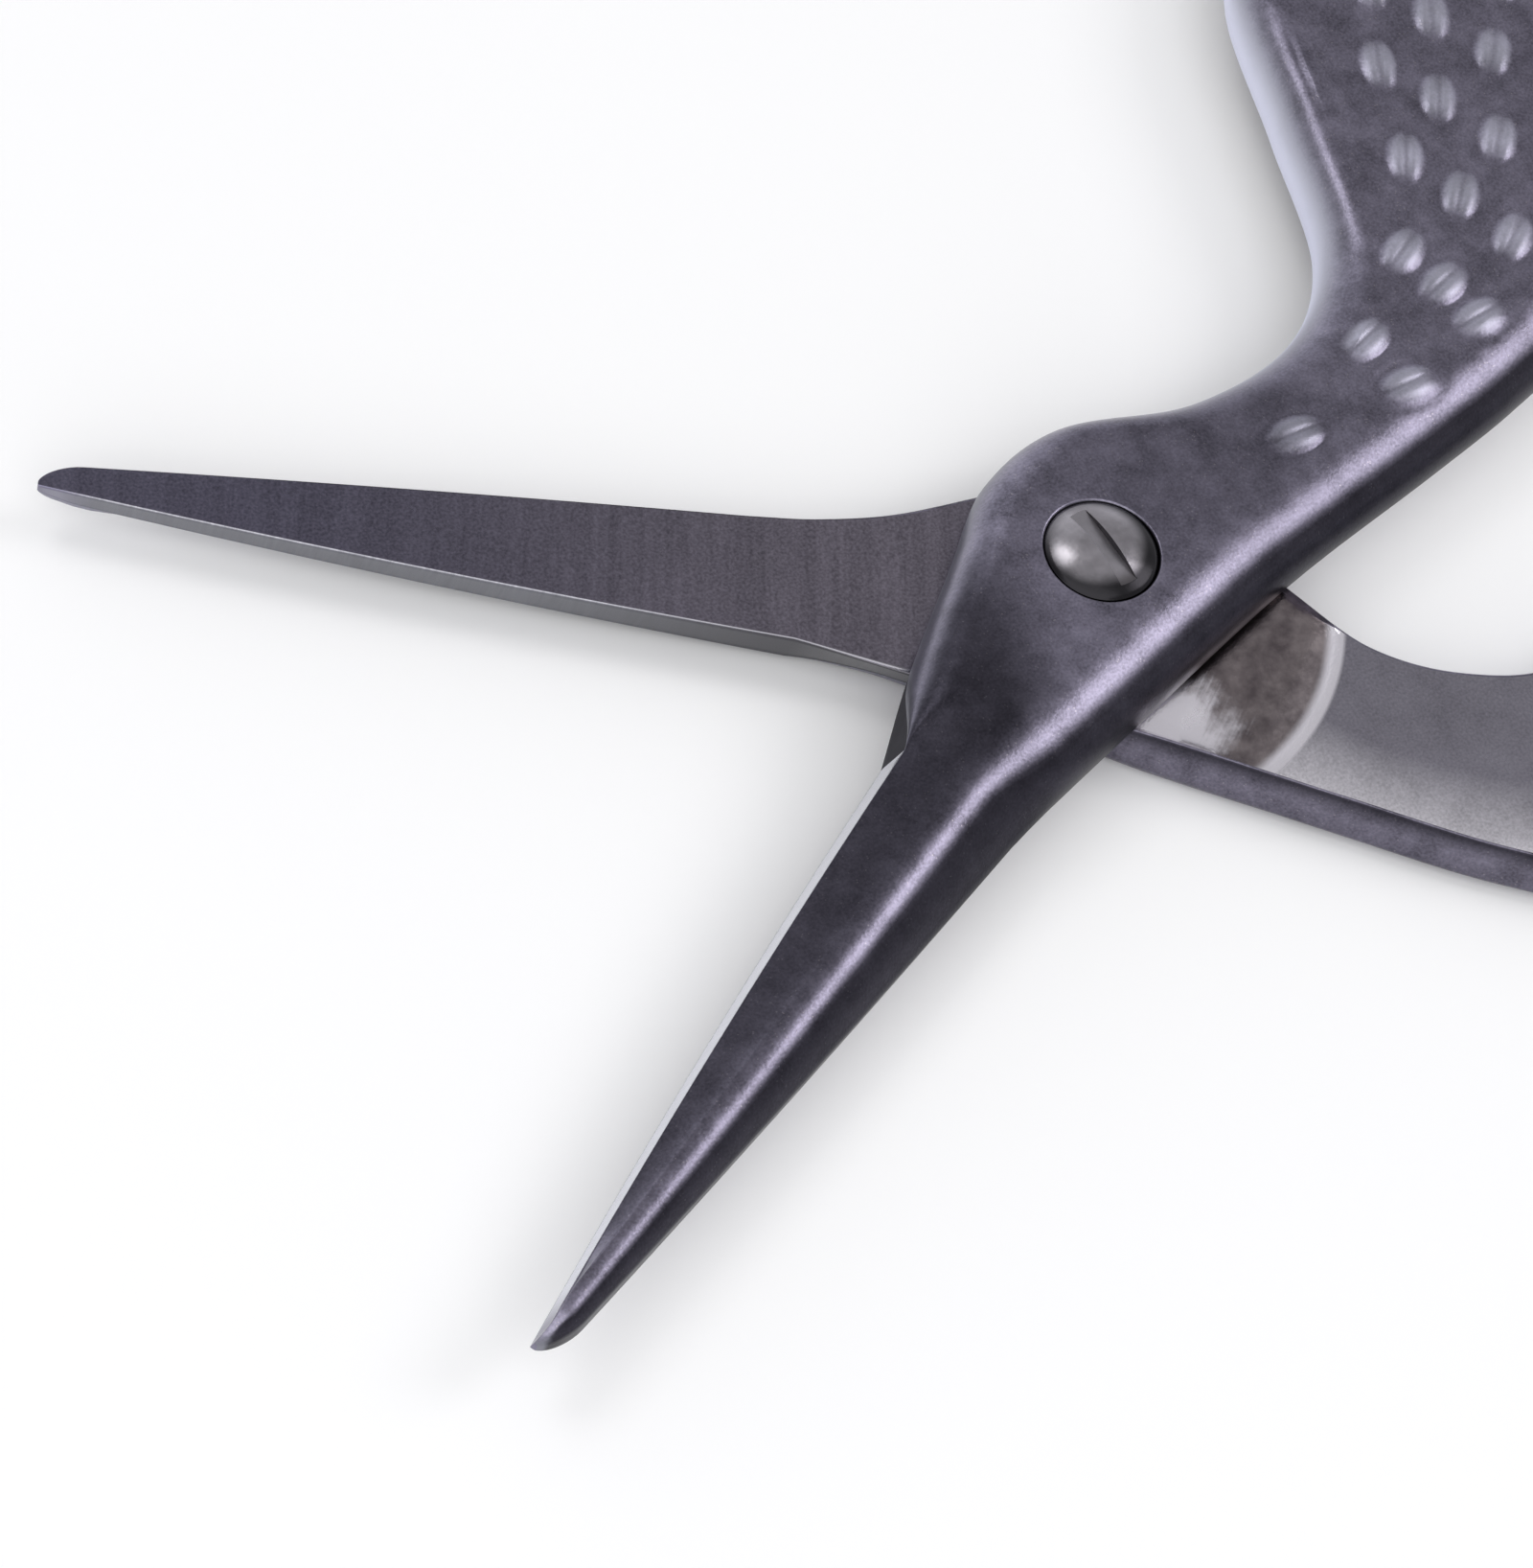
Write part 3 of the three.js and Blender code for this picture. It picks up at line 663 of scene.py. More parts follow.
# %% Turned and slotted screw
HEAD_RADIUS = 2.12
HEAD_UNDER = 4.2  # heights above the table
HEAD_EDGE = 4.95
DOME_TOP = 5.48
DOME_POINTS = 16
RIM_POINTS = 5
SHANK_RADIUS = 1.2
THREAD_RADIUS = 1
SHANK_FOOT = 2.55
END_CHAMFER = 0.12
RIM_ROUND = 0.12
RIM_EASE = 0.06  # small round between the dome and the head's side
SLOT_WIDTH = 0.7
SLOT_TURN = radians(4)
SLOT_DEPTH = 0.32
ON_FLOOR = 0.012  # a face this close to the floor's height is part of it
LEVEL, UPRIGHT = 0.999, 0.1  # upward share of the normal of a floor and of a wall

DOME, SLOT_FLOOR, SLOT_WALL = range(3)  # material slots of the screw
screw_line = [(0, 0), (THREAD_RADIUS - END_CHAMFER, 0), (THREAD_RADIUS, END_CHAMFER)]
screw_line += [(THREAD_RADIUS, SHANK_FOOT), (SHANK_RADIUS, SHANK_FOOT), (SHANK_RADIUS, HEAD_UNDER)]
screw_line += [(HEAD_RADIUS - RIM_ROUND, HEAD_UNDER), (HEAD_RADIUS, HEAD_UNDER + RIM_ROUND)]
dome_rise = DOME_TOP - HEAD_EDGE
dome_radius = (HEAD_RADIUS ** 2 + dome_rise ** 2) / (2 * dome_rise)
dome_foot = HEAD_RADIUS - RIM_EASE
screw_line += rounded((HEAD_RADIUS, HEAD_EDGE - RIM_EASE), (dome_foot, HEAD_EDGE), True, RIM_POINTS)
for i in range(DOME_POINTS + 1):
    angle = asin(dome_foot / dome_radius) * (1 - i / DOME_POINTS)
    screw_line.append((dome_radius * sin(angle), DOME_TOP - dome_radius * (1 - cos(angle))))
screw = as_object(turned_solid(screw_line), "pivot_screw_turned")

slot_tool = bmesh.new()
bmesh.ops.create_cube(slot_tool, size=1)
slot_place = Matrix.Translation((0, 0, DOME_TOP)) @ Matrix.Rotation(SLOT_TURN, 4, "Z")
slot_size = Matrix.Diagonal((SLOT_WIDTH, 3 * HEAD_RADIUS, 2 * SLOT_DEPTH, 1))
bmesh.ops.transform(slot_tool, matrix=slot_place @ slot_size, verts=slot_tool.verts)
boolean(screw, slot_tool, "DIFFERENCE")
slot_floor = DOME_TOP - SLOT_DEPTH
for face in screw.data.polygons:
    above = face.center.z - slot_floor
    in_slot = above > -RIM_ROUND and face.center.xy.length < HEAD_RADIUS - RIM_ROUND
    if in_slot and face.normal.z > LEVEL and abs(above) < ON_FLOOR:
        face.material_index = SLOT_FLOOR
    elif in_slot and face.normal.z < UPRIGHT:
        face.material_index = SLOT_WALL
print("screw faces:", len(screw.data.polygons))

# %% [markdown]
# ## Putting the pieces in place
# So far each half lies in its own frame. The front half is swung round the pivot and lifted to the joint
# plane. The rear half is first turned over about its blade, then swung the other way. The transform goes
# into the mesh itself, so the object stays at the origin like the frame's own nodes. Then each piece is
# attached to the body it moves with, and the solid it stands for is hidden.

# %% Places and bodies
OPEN_ANGLE = radians(58.4)
to_metres = Matrix.Scale(MM, 4)
to_joint = to_metres @ Matrix.Translation((0, 0, HALF_THICKNESS))
front_place = to_joint @ Matrix.Rotation(OPEN_ANGLE / 2, 4, "Z")
rear_place = to_joint @ Matrix.Rotation(-OPEN_ANGLE / 2, 4, "Z") @ Matrix.Rotation(pi, 4, "X")
SHARP_ANGLE = radians(50)
PIECES = [
    (front_half, front_place, "front", "front_half", "blackened_steel"),
    (rear_half, rear_place, "rear", "rear_half", "blackened_steel"),
    (screw, to_metres, "screw", "pivot_screw", "screw_steel"),
]
for piece, place, body_name, node, slot in PIECES:
    piece.data.transform(place)
    piece.data.shade_smooth()
    piece.data.set_sharp_from_angle(angle=SHARP_ANGLE)
    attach(piece, body_name)
    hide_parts(node)
    heights = [vert.co.z / MM for vert in piece.data.vertices]
    print(piece.name, "from", round(min(heights), 3), "to", round(max(heights), 3), "mm high")

# %% [markdown]
# ## Where the finish is worn, and where light and shade are painted
# The steel is blackened all over and worn lighter on the faces that a cloth or a hand reaches. Painted shade
# darkens the steep side walls, most along the joint face, and the blade's back beside a painted highlight on
# its ridge. The flat of the neck is darker. The body between the feathers is a little darker and their tops
# lighter, partly wear and partly painted highlight. The wall of the bird's back gets a painted reflection of
# bright steel, and the joint face a painted highlight along its belly edge. Legs and rings are worn evenly
# all round. These shares are stored on the points of the mesh as three attributes, "polish",
# "painted_sheen" and "edge_sheen", because a shader can't tell a feather from the face it is on.

# %% Wear, painted shade and painted light stored on the points
BACK_SHARE = (0.4, 0.6)  # of the width, where the belly side gives way to the back
BELLY_FLAT = (0.8, 0.92)  # how level a point is, from a wall in painted shade to a worn face
BACK_FLAT = (0.2, 0.75)
SHEEN_STEEP = (0.96, 0.05)  # the same for the back's wall, from a dark shoulder to a wall with a painted reflection
FEATHER_WEAR_AND_LIGHT = (0.88, 1.3)  # between the feathers and on top of them: darker between, lighter on top, wear and painted highlight
# share of the painted reflection on the feather tops
FEATHER_SHEEN = 0.55
HEAD_SHEEN = 0.3  # painted reflection on the head's wall, compared with the back's
SHADE_LINE = (1, -4.8)  # along the ring side, where the worn head gives way to the painted shade of the blade's back
SHADE_FLAT = (0.55, 0.9)  # the painted shade stays off the shoulder
SHADE_SLANT = 0.9  # mm that this border lies further forward for each mm to the far side
BLADE_BACK_SHADE = 0.2  # share of the colour left on the blade's back beside its ridge, as painted shade
NECK_DARKENING = 0.66  # share of the colour left on the neck's flat face, which is made darker
NECK_PLACE = 6.5  # middle of that stretch, from the pivot
NECK_REACH = 5.5
JOINT_SHADE = 1.1  # height of the painted shade on the belly's side wall, along the joint face
RIDGE_PLACE = 0.6  # of the way from the spine to the top of the ridge, where a painted highlight is left out of the shade
RIDGE_WIDTH = 0.65
RING_WEAR, RING_SHEEN = 0.75, 0.04  # of the leg and the ring, all round
EDGE_SHEEN_SHARE = 0.4  # of the joint face's width, with a painted highlight along the belly


def store_wear_and_light(piece, place, lines, hump, wall_shade):
    places = feather_places(lines, hump[1])
    mesh = piece.data
    names = ("polish", "painted_sheen", "edge_sheen")
    for name in names:
        mesh.attributes.new(name, "FLOAT", "POINT")
    polish, painted_sheen, edge_sheen = (mesh.attributes[name].data for name in names)
    to_half = place.inverted()
    for i, vert in enumerate(mesh.vertices):
        x, y, z = to_half @ vert.co
        level = abs(vert.normal.z)
        ring_share = (y - lines.far(x)) / (lines.ring(x) - lines.far(x))
        back_share = ring_share if hump[1] > 0 or x < 0 else 1 - ring_share
        on_back = fade(back_share, *BACK_SHARE)
        on_body = fade(x, NECK_START, NECK_START + BODY_START)
        on_leg = fade(x, LEG_START - LEG_DROP, LEG_START)
        face = fade(level, *(mix(belly, back, on_back) for belly, back in zip(BELLY_FLAT, BACK_FLAT)))
        # steep walls get painted shade, darkest along the joint face
        shaded_wear = mix(wall_shade * ease(z / JOINT_SHADE), 1, face)
        on_feathers = 0
        # a little darker between the feathers and lighter on their tops: wear and painted highlight
        if x > NECK_START and z > BODY_THICKNESS / 2:
            on_feathers = clamp(feather_height(places, x, y) / FEATHER_RISE)
            shaded_wear = max(shaded_wear, on_feathers) * mix(1, mix(*FEATHER_WEAR_AND_LIGHT, on_feathers), on_body)
        flat = fade(level, *SHADE_FLAT)
        # the neck's flat face is made darker
        shaded_wear *= mix(1, NECK_DARKENING, flat * exp(-(hypot(x - NECK_PLACE, y) / NECK_REACH) ** 4))
        # painted shade on the blade's back, with a painted highlight left along its ridge
        shade = flat * fade(x - SHADE_SLANT * (y - lines.ring(x)), *SHADE_LINE)
        if shade > 0:
            ridge = lines.far(x) + section_at(x, lines)["ridge"] * RIDGE_PLACE
            beside = 1 - exp(-((y - ridge) / RIDGE_WIDTH) ** 2)
            shaded_wear *= mix(1, BLADE_BACK_SHADE, beside * shade)
        # painted reflection of bright steel on the wall of the bird's back, and on the feather tops
        back_sheen = mix(HEAD_SHEEN, 1, on_body) * on_back * fade(level, *SHEEN_STEEP)
        sheen_share = max(back_sheen, FEATHER_SHEEN * on_body * on_feathers)
        polish[i].value = mix(shaded_wear, RING_WEAR, on_leg)
        painted_sheen[i].value = mix(sheen_share, RING_SHEEN, on_leg)
        # painted highlight along the belly edge of the joint face
        edge_sheen[i].value = clamp(1 - back_share / EDGE_SHEEN_SHARE)


# the front's side walls are painted nearly black as shade, the rear's less dark
store_wear_and_light(front_half, front_place, front_lines, FRONT_HUMP, wall_shade=0.12)
store_wear_and_light(rear_half, rear_place, rear_lines, REAR_HUMP, wall_shade=0.65)
print("polish stored on", len(front_half.data.vertices) + len(rear_half.data.vertices), "points")

# %% [markdown]
# ## Shared effects
# Three patterns are node groups, built once so that every finish can use them: cloudy burnish marks with a
# fine grain, brush lines that run across the blade, and a scatter of bright specks. They read the object's
# own coordinates in metres, so a scale of 1000 means one cell a millimetre.

# %% Node helpers and groups
LINE_STRETCH = (1, 0.06, 0.06)
SPECK_SIZE = 0.2  # of a cell


def feed(tree, socket, value):
    """Give an input its value. Another node's output is linked to it."""
    if isinstance(value, bpy.types.NodeSocket):
        tree.links.new(value, socket)
    else:
        socket.default_value = value


def set_inputs(tree, node, inputs):
    for name, value in inputs.items():
        feed(tree, node.inputs[name.replace("_", " ")], value)


def add_node(tree, kind, **inputs):
    node = tree.nodes.new(kind)
    set_inputs(tree, node, inputs)
    return node


def math(tree, operation, *values, kind="ShaderNodeMath", result="Value"):
    """Result of a math node, whose inputs are given in order."""
    node = tree.nodes.new(kind)
    node.operation = operation
    for socket, value in zip(node.inputs, values):
        feed(tree, socket, value)
    return node.outputs[result]


def scaled(tree, value, factor, offset):
    return math(tree, "MULTIPLY_ADD", value, factor, offset)


def vector_product(tree, place, factors):
    return math(tree, "MULTIPLY", place, factors, kind="ShaderNodeVectorMath", result="Vector")


def swung(tree, place, angle):
    node = add_node(tree, "ShaderNodeVectorRotate", Vector=place, Angle=angle)
    node.rotation_type = "Z_AXIS"
    return node.outputs[0]


def noise(tree, place, scale, **inputs):
    return add_node(tree, "ShaderNodeTexNoise", Vector=place, Scale=scale, **inputs).outputs[0]


def ramp(tree, value, start, end, unit=MM):
    """0 at start to 1 at end."""
    node = add_node(tree, "ShaderNodeMapRange", Value=value, From_Min=start * unit, From_Max=end * unit)
    node.interpolation_type = "SMOOTHSTEP"
    return node.outputs[0]


def blend(tree, share, dark, light):
    node = tree.nodes.new("ShaderNodeMix")
    node.data_type = "RGBA"
    sockets = {socket.identifier: socket for socket in [*node.inputs, *node.outputs]}
    for name, value in (("Factor_Float", share), ("A_Color", dark), ("B_Color", light)):
        feed(tree, sockets[name], value)
    return sockets["Result_Color"]


def new_group(name, inputs, outputs):
    """An empty shader group, with what it is given and what it returns."""
    group = bpy.data.node_groups.new(name, "ShaderNodeTree")
    group.interface.new_socket(name="Place", in_out="INPUT", socket_type="NodeSocketVector")
    for in_out, sockets in (("INPUT", inputs), ("OUTPUT", outputs)):
        for socket in sockets:
            group.interface.new_socket(name=socket, in_out=in_out, socket_type="NodeSocketFloat")
    return group, group.nodes.new("NodeGroupInput").outputs, group.nodes.new("NodeGroupOutput").inputs


burnish, given, result = new_group("burnish_marks", ["Cloud scale"], ["Cloud", "Grain"])
cloud = noise(burnish, given["Place"], given["Cloud scale"], Detail=6, Roughness=0.62)
feed(burnish, result["Cloud"], cloud)
feed(burnish, result["Grain"], noise(burnish, given["Place"], scale=9000, Detail=2))

brushing, given, result = new_group("brush_lines", ["Turn", "Spacing"], ["Lines"])
stretched = vector_product(brushing, swung(brushing, given["Place"], given["Turn"]), LINE_STRETCH)
feed(brushing, result["Lines"], noise(brushing, stretched, given["Spacing"], Detail=4, Roughness=0.7))

specks, given, result = new_group("bright_specks", ["Amount"], ["Speck"])
cells = add_node(specks, "ShaderNodeTexVoronoi", Vector=given["Place"], Scale=6500)
near = math(specks, "LESS_THAN", cells.outputs["Distance"], SPECK_SIZE)
clumps = noise(specks, given["Place"], scale=2600, Detail=1)
picked = math(specks, "GREATER_THAN", clumps, math(specks, "SUBTRACT", 1, given["Amount"]))
feed(specks, result["Speck"], math(specks, "MULTIPLY", near, picked))
print("node groups:", sorted(group.name for group in bpy.data.node_groups))

# %% [markdown]
# ## Blackened steel
# The outer faces: dark steel with a satin sheen, cloudy where it was burnished and lighter where it is
# worn. It is a metal, so its base colour is the tint of its reflections. The stored polish chooses
# between black, which also stands for painted shade, and the grey of the worn faces, and painted_sheen
# blends in bright steel as a painted reflection.

# %% Finish of the outer faces
# black of the steel, also used as painted shade
BLACK_AND_SHADE = (0.015, 0.014, 0.019, 1)
WEAR_AND_LIGHT_GREY = (0.4, 0.374, 0.485, 1)
# bright steel of the painted reflection
BACK_SHEEN_STEEL = (0.74, 0.75, 0.86, 1)
SPECK_GREY = (0.5, 0.46, 0.48, 1)
PEPPER = (0.6, -0.25)  # factor and offset of the grain in the wear
SPECK_SHARE = 0.4
WORN_ROUGH = (-0.04, 0.24)  # factor of the wear and offset, in the roughness
BACK_ROUGH = 0.32
CLOUD_ROUGH = 0.2
GRAIN_BUMP = (0.2, 0.03 * MM)  # strength and depth


def look(tree, **inputs):
    """Set or link inputs of a material's shader."""
    set_inputs(tree, tree.nodes["Principled BSDF"], inputs)


def new_metal(name, **inputs):
    """A metallic material, with its node tree and the object's own coordinates."""
    material = bpy.data.materials.new(name)
    material.use_nodes = True
    tree = material.node_tree
    look(tree, **{"Metallic": 1, **inputs})
    return material, tree, tree.nodes.new("ShaderNodeTexCoord").outputs["Object"]


def add_group(tree, group, place, **inputs):
    node = tree.nodes.new("ShaderNodeGroup")
    node.node_tree = group
    set_inputs(tree, node, dict(inputs, Place=place))
    return node.outputs


def stored(tree, name):
    """A share that was stored on the points."""
    node = tree.nodes.new("ShaderNodeAttribute")
    node.attribute_name = name
    return node.outputs["Fac"]


def bumped(tree, height, strength, distance):
    return add_node(tree, "ShaderNodeBump", Height=height, Strength=strength, Distance=distance).outputs[0]


def blackened_steel():
    material, tree, place = new_metal("blackened_steel")
    marks = add_group(tree, burnish, place, Cloud_scale=700)
    bright = add_group(tree, specks, place, Amount=0.42)
    shaded_wear, back = stored(tree, "polish"), stored(tree, "painted_sheen")
    cloudy = math(tree, "ADD", marks["Cloud"], scaled(tree, marks["Grain"], *PEPPER))
    # black where shade is painted, grey where the face is worn
    steel = blend(tree, math(tree, "MULTIPLY", shaded_wear, cloudy), BLACK_AND_SHADE, WEAR_AND_LIGHT_GREY)
    # painted reflection blended in
    steel = blend(tree, back, steel, BACK_SHEEN_STEEL)
    scattered = math(tree, "MULTIPLY", bright["Speck"], math(tree, "MULTIPLY", shaded_wear, SPECK_SHARE))
    rough = scaled(tree, back, BACK_ROUGH, scaled(tree, shaded_wear, *WORN_ROUGH))
    look(
        tree, Base_Color=blend(tree, scattered, steel, SPECK_GREY),
        Roughness=scaled(tree, marks["Cloud"], CLOUD_ROUGH, rough),
        Normal=bumped(tree, marks["Grain"], *GRAIN_BUMP),
    )
    return material


def paint(piece, *finishes):
    """Fill the material slots in order."""
    for finish in finishes:
        piece.data.materials.append(finish)
    print(piece.name, "has", [finish.name for finish in finishes])


black_finish = blackened_steel()
print("finish", black_finish.name, "with", len(black_finish.node_tree.nodes), "nodes")

# %% [markdown]
# ## Ground bevel and joint faces
# The bevel is ground last, so it is bare bright steel with fine lines straight across the edge. The front
# bevel is painted lighter and the rear one darker, as painted light and shade. Each is painted dark at the
# tip as shade and turns darker towards the heel, and its cutting edge is made brighter as a painted
# highlight. The joint faces were ground flat across the blade before blackening: darker, with longer lines,
# and a painted highlight runs along the handle's belly edge. Old oil has stained the recess behind the
# pivot brown, apart from one bare patch, whose edge clouds and smears make ragged, and its ramp, which is
# painted bright as a highlight. The wall just behind the front bevel is painted matt black as shade.

# %% Finishes of the ground faces
FRONT_BEVEL_LIT = ((0.6, 0.61, 0.68, 1), (0.9, 0.91, 1, 1), (0.7, 0.71, 0.79, 1))  # dark, light and heel; painted lighter than the rear bevel, as painted light
# the rear bevel is painted darker, as painted shade
REAR_BEVEL_SHADED = ((0.11, 0.11, 0.13, 1), (0.25, 0.255, 0.29, 1), (0.06, 0.058, 0.07, 1))
BEVEL_ROUGH = (0.16, 0.1)  # factor of the lines and offset
BEVEL_BUMP = (0.2, 0.02 * MM)  # strength and depth
# bare steel of the cutting edge, made brighter as a painted highlight
EDGE_STEEL_AND_HIGHLIGHT = (0.62, 0.61, 0.67, 1)
EDGE_HEEL = (0.3, 0.29, 0.32, 1)
# painted shade on the wall behind the front bevel
RICASSO_SHADE_BLACK = (0.04, 0.039, 0.047, 1)
TIP_SHADE = (-37.6, -35.5)  # along the half, where the bevel is painted dark at the tip as shade, and where it turns darker towards the heel
HEEL_DARKENING = (-22, -9.5)
TIP_BLUE = (0.2, 0.188, 0.26, 1)
HEEL_BROWN = (0.32, 0.29, 0.35, 1)
BLADE_TINTS = (-32, -7)  # along the half, from that blue to that brown
HANDLE_GREY = (0.35, 0.335, 0.39, 1)
# painted highlight along the handle's belly edge
HANDLE_EDGE_SHEEN = (0.97, 0.94, 1, 1)
HANDLE_FROM = (0, 6)  # along the half, from the blade's finish to the handle's
LINE_STREAKS = 0.9  # factors and offsets in the dark streaks of blade and handle
GRAIN_STREAKS = (1.4, -0.45)
STREAK_SHARE = 0.6
HANDLE_CLOUDS = 0.8
HANDLE_GRAIN = (0.6, -0.5)
JOINT_ROUGH = (0.2, 0.2)
JOINT_BUMP = (0.25, 0.03 * MM)
RECESS_BROWN = (0.14, 0.118, 0.125, 1)
RECESS_TAN = (0.3, 0.26, 0.265, 1)
STAIN_LIMITS = dict(From_Min=0.35, From_Max=0.65)  # of its clouds, from brown to tan
# bare steel of the patch, and the painted highlight on the ramp
RECESS_STEEL = (0.86, 0.83, 0.89, 1)
RECESS_SHEEN = -0.06  # the recess is less rough by this
RECESS_FROM = (1, 2)  # along the half
RECESS_BORDER = 0.2
SCOURED_MATT = 0.15  # share of its bare steel that scatters light like a matt surface
BARE_PLACE = Vector((3.2, 5.3, 0))  # middle of the bare patch, on a half
BARE_RAGGED = 3  # how far the clouds move its edge
BARE_SMEARED = 2.5  # the same for smears that run across it
SMEAR_TURN = radians(25)
BARE_EDGE = (5.4, 4.2)  # distance from its middle with those, from the stain to bare steel


def along_blade(tree, place, blade_turn):
    """Distance along the half, negative towards the tip."""
    return add_node(tree, "ShaderNodeSeparateXYZ", Vector=swung(tree, place, blade_turn)).outputs["X"]


def plan_distance(tree, place, centre):
    """Distance from a point on the table, seen from above."""
    level = vector_product(tree, place, (1, 1, 0))
    return math(tree, "DISTANCE", level, centre, kind="ShaderNodeVectorMath")


def ground_bevel(name, blade_turn, dark, light, heel):
    """Bare ground steel. Pass how far the blade is turned from -X, so that the lines lie across it."""
    material, tree, place = new_metal(name)
    lines = add_group(tree, brushing, place, Turn=blade_turn, Spacing=5000)["Lines"]
    along = along_blade(tree, place, blade_turn)
    steel = blend(tree, lines, dark, light)
    # painted shade at the tip, and darker towards the heel
    steel = blend(tree, ramp(tree, along, *TIP_SHADE), TIP_BLUE, steel)
    steel = blend(tree, ramp(tree, along, *HEEL_DARKENING), steel, heel)
    rough = scaled(tree, lines, *BEVEL_ROUGH)
    look(tree, Base_Color=steel, Roughness=rough, Normal=bumped(tree, lines, *BEVEL_BUMP))
    return material


def joint_face(name, blade_turn, bare_place):
    material, tree, place = new_metal(name)
    lines = add_group(tree, brushing, place, Turn=blade_turn, Spacing=2200)["Lines"]
    smears = add_group(tree, brushing, place, Turn=blade_turn + SMEAR_TURN, Spacing=900)["Lines"]
    marks = add_group(tree, burnish, place, Cloud_scale=450)
    spots = add_group(tree, burnish, place, Cloud_scale=1100)["Cloud"]
    along = along_blade(tree, place, blade_turn)
    reach = plan_distance(tree, place, (0, 0, 0))

    blade = blend(tree, ramp(tree, along, *BLADE_TINTS), TIP_BLUE, HEEL_BROWN)
    streaks = scaled(tree, lines, LINE_STREAKS, scaled(tree, marks["Grain"], *GRAIN_STREAKS))
    blade = blend(tree, math(tree, "MULTIPLY", streaks, STREAK_SHARE), blade, BLACK_AND_SHADE)
    # painted highlight along the handle's belly edge
    handle = blend(tree, stored(tree, "edge_sheen"), HANDLE_GREY, HANDLE_EDGE_SHEEN)
    worked = scaled(tree, marks["Cloud"], HANDLE_CLOUDS, scaled(tree, marks["Grain"], *HANDLE_GRAIN))
    handle = blend(tree, worked, handle, BLACK_AND_SHADE)
    face = blend(tree, ramp(tree, along, *HANDLE_FROM), blade, handle)

    ragged = scaled(tree, marks["Cloud"], BARE_RAGGED * MM, plan_distance(tree, place, bare_place))
    ragged = scaled(tree, smears, BARE_SMEARED * MM, ragged)
    # painted highlight on the ramp of the recess
    ramp_highlight = ramp(tree, reach, RECESS_OUTER - RECESS_RAMP / 2, RECESS_OUTER - RECESS_RAMP / 4)
    bare_and_ramp_highlight = math(tree, "MAXIMUM", ramp(tree, ragged, *BARE_EDGE), ramp_highlight)
    mottled = add_node(tree, "ShaderNodeMapRange", Value=spots, **STAIN_LIMITS).outputs[0]
    stain = blend(tree, mottled, RECESS_BROWN, RECESS_TAN)
    recess = blend(tree, bare_and_ramp_highlight, stain, RECESS_STEEL)
    within = ramp(tree, reach, RECESS_OUTER, RECESS_OUTER - RECESS_BORDER)
    mask = math(tree, "MULTIPLY", within, ramp(tree, along, *RECESS_FROM))
    scoured = math(tree, "MULTIPLY", mask, bare_and_ramp_highlight)
    rough = scaled(tree, marks["Cloud"], *JOINT_ROUGH)
    look(
        tree, Base_Color=blend(tree, mask, face, recess),
        Metallic=scaled(tree, scoured, -SCOURED_MATT, 1), Roughness=scaled(tree, mask, RECESS_SHEEN, rough),
        Normal=bumped(tree, marks["Grain"], *JOINT_BUMP),
    )
    return material


def ricasso_shade_finish():
    """Painted shade, as matt black, on the wall just behind the front bevel."""
    material, tree, place = new_metal("ricasso_shade_finish", Metallic=0, Roughness=0.6, Specular_IOR_Level=0.1)
    cloud = add_group(tree, burnish, place, Cloud_scale=900)["Cloud"]
    look(tree, Base_Color=blend(tree, cloud, BLACK_AND_SHADE, RICASSO_SHADE_BLACK))
    return material


# painted shade for the wall behind the front bevel
scale = ricasso_shade_finish()
for half, place, side_name, blade_turn, bevel in (
    (front_half, front_place, "front", -OPEN_ANGLE / 2, FRONT_BEVEL_LIT),
    (rear_half, rear_place, "rear", OPEN_ANGLE / 2, REAR_BEVEL_SHADED),
):
    bare_place = place @ BARE_PLACE
    bare_place.z = 0
    ground = ground_bevel(side_name + "_ground_bevel", blade_turn, *bevel)
    joint = joint_face(side_name + "_joint_face", blade_turn, bare_place)
    edge = ground_bevel(side_name + "_cutting_edge", blade_turn, bevel[0], EDGE_STEEL_AND_HIGHLIGHT, EDGE_HEEL)
    paint(half, black_finish, ground, joint, edge, scale)

# %% [markdown]
# ## Screw finish
# The screw was turned on a lathe and blackened, then rubbed by screwdrivers and thumbs. It shares the
# burnish marks. Its rim is painted black as shade, a little more on one side, and the crown keeps the
# lighter clouds. The slot's floor is painted lighter and its walls darker, as painted light and shade.

# %% Finish of the screw
SCREW_DARK = (0.1, 0.094, 0.1, 1)
# painted shade on the rim, a little more on one side
RIM_SHADE_BLACK = (0.028, 0.027, 0.03, 1)
SCREW_LIGHT = (0.64, 0.61, 0.66, 1)
SCREW_ROUGH = (0.2, 0.14)  # factor of the clouds and offset
SCREW_BUMP = (0.2, 0.08 * MM)
# the slot's floor is painted lighter, as painted light
SLOT_DARK = (0.22, 0.21, 0.225, 1)
SLOT_LIGHT = (0.44, 0.42, 0.46, 1)
CROWN_PLACE = (-0.08 * MM, 0.35 * MM, 0)  # middle of the crown, which the rim's painted shade leaves out
CROWN_RADIUS = 1.3
CROWN_FADE = 0.7  # from the crown to the rim's painted shade


def rim_shade_mask(tree, place):
    """0 on the crown to 1 at the rim, where shade is painted."""
    return ramp(tree, plan_distance(tree, place, CROWN_PLACE), CROWN_RADIUS, CROWN_RADIUS + CROWN_FADE)


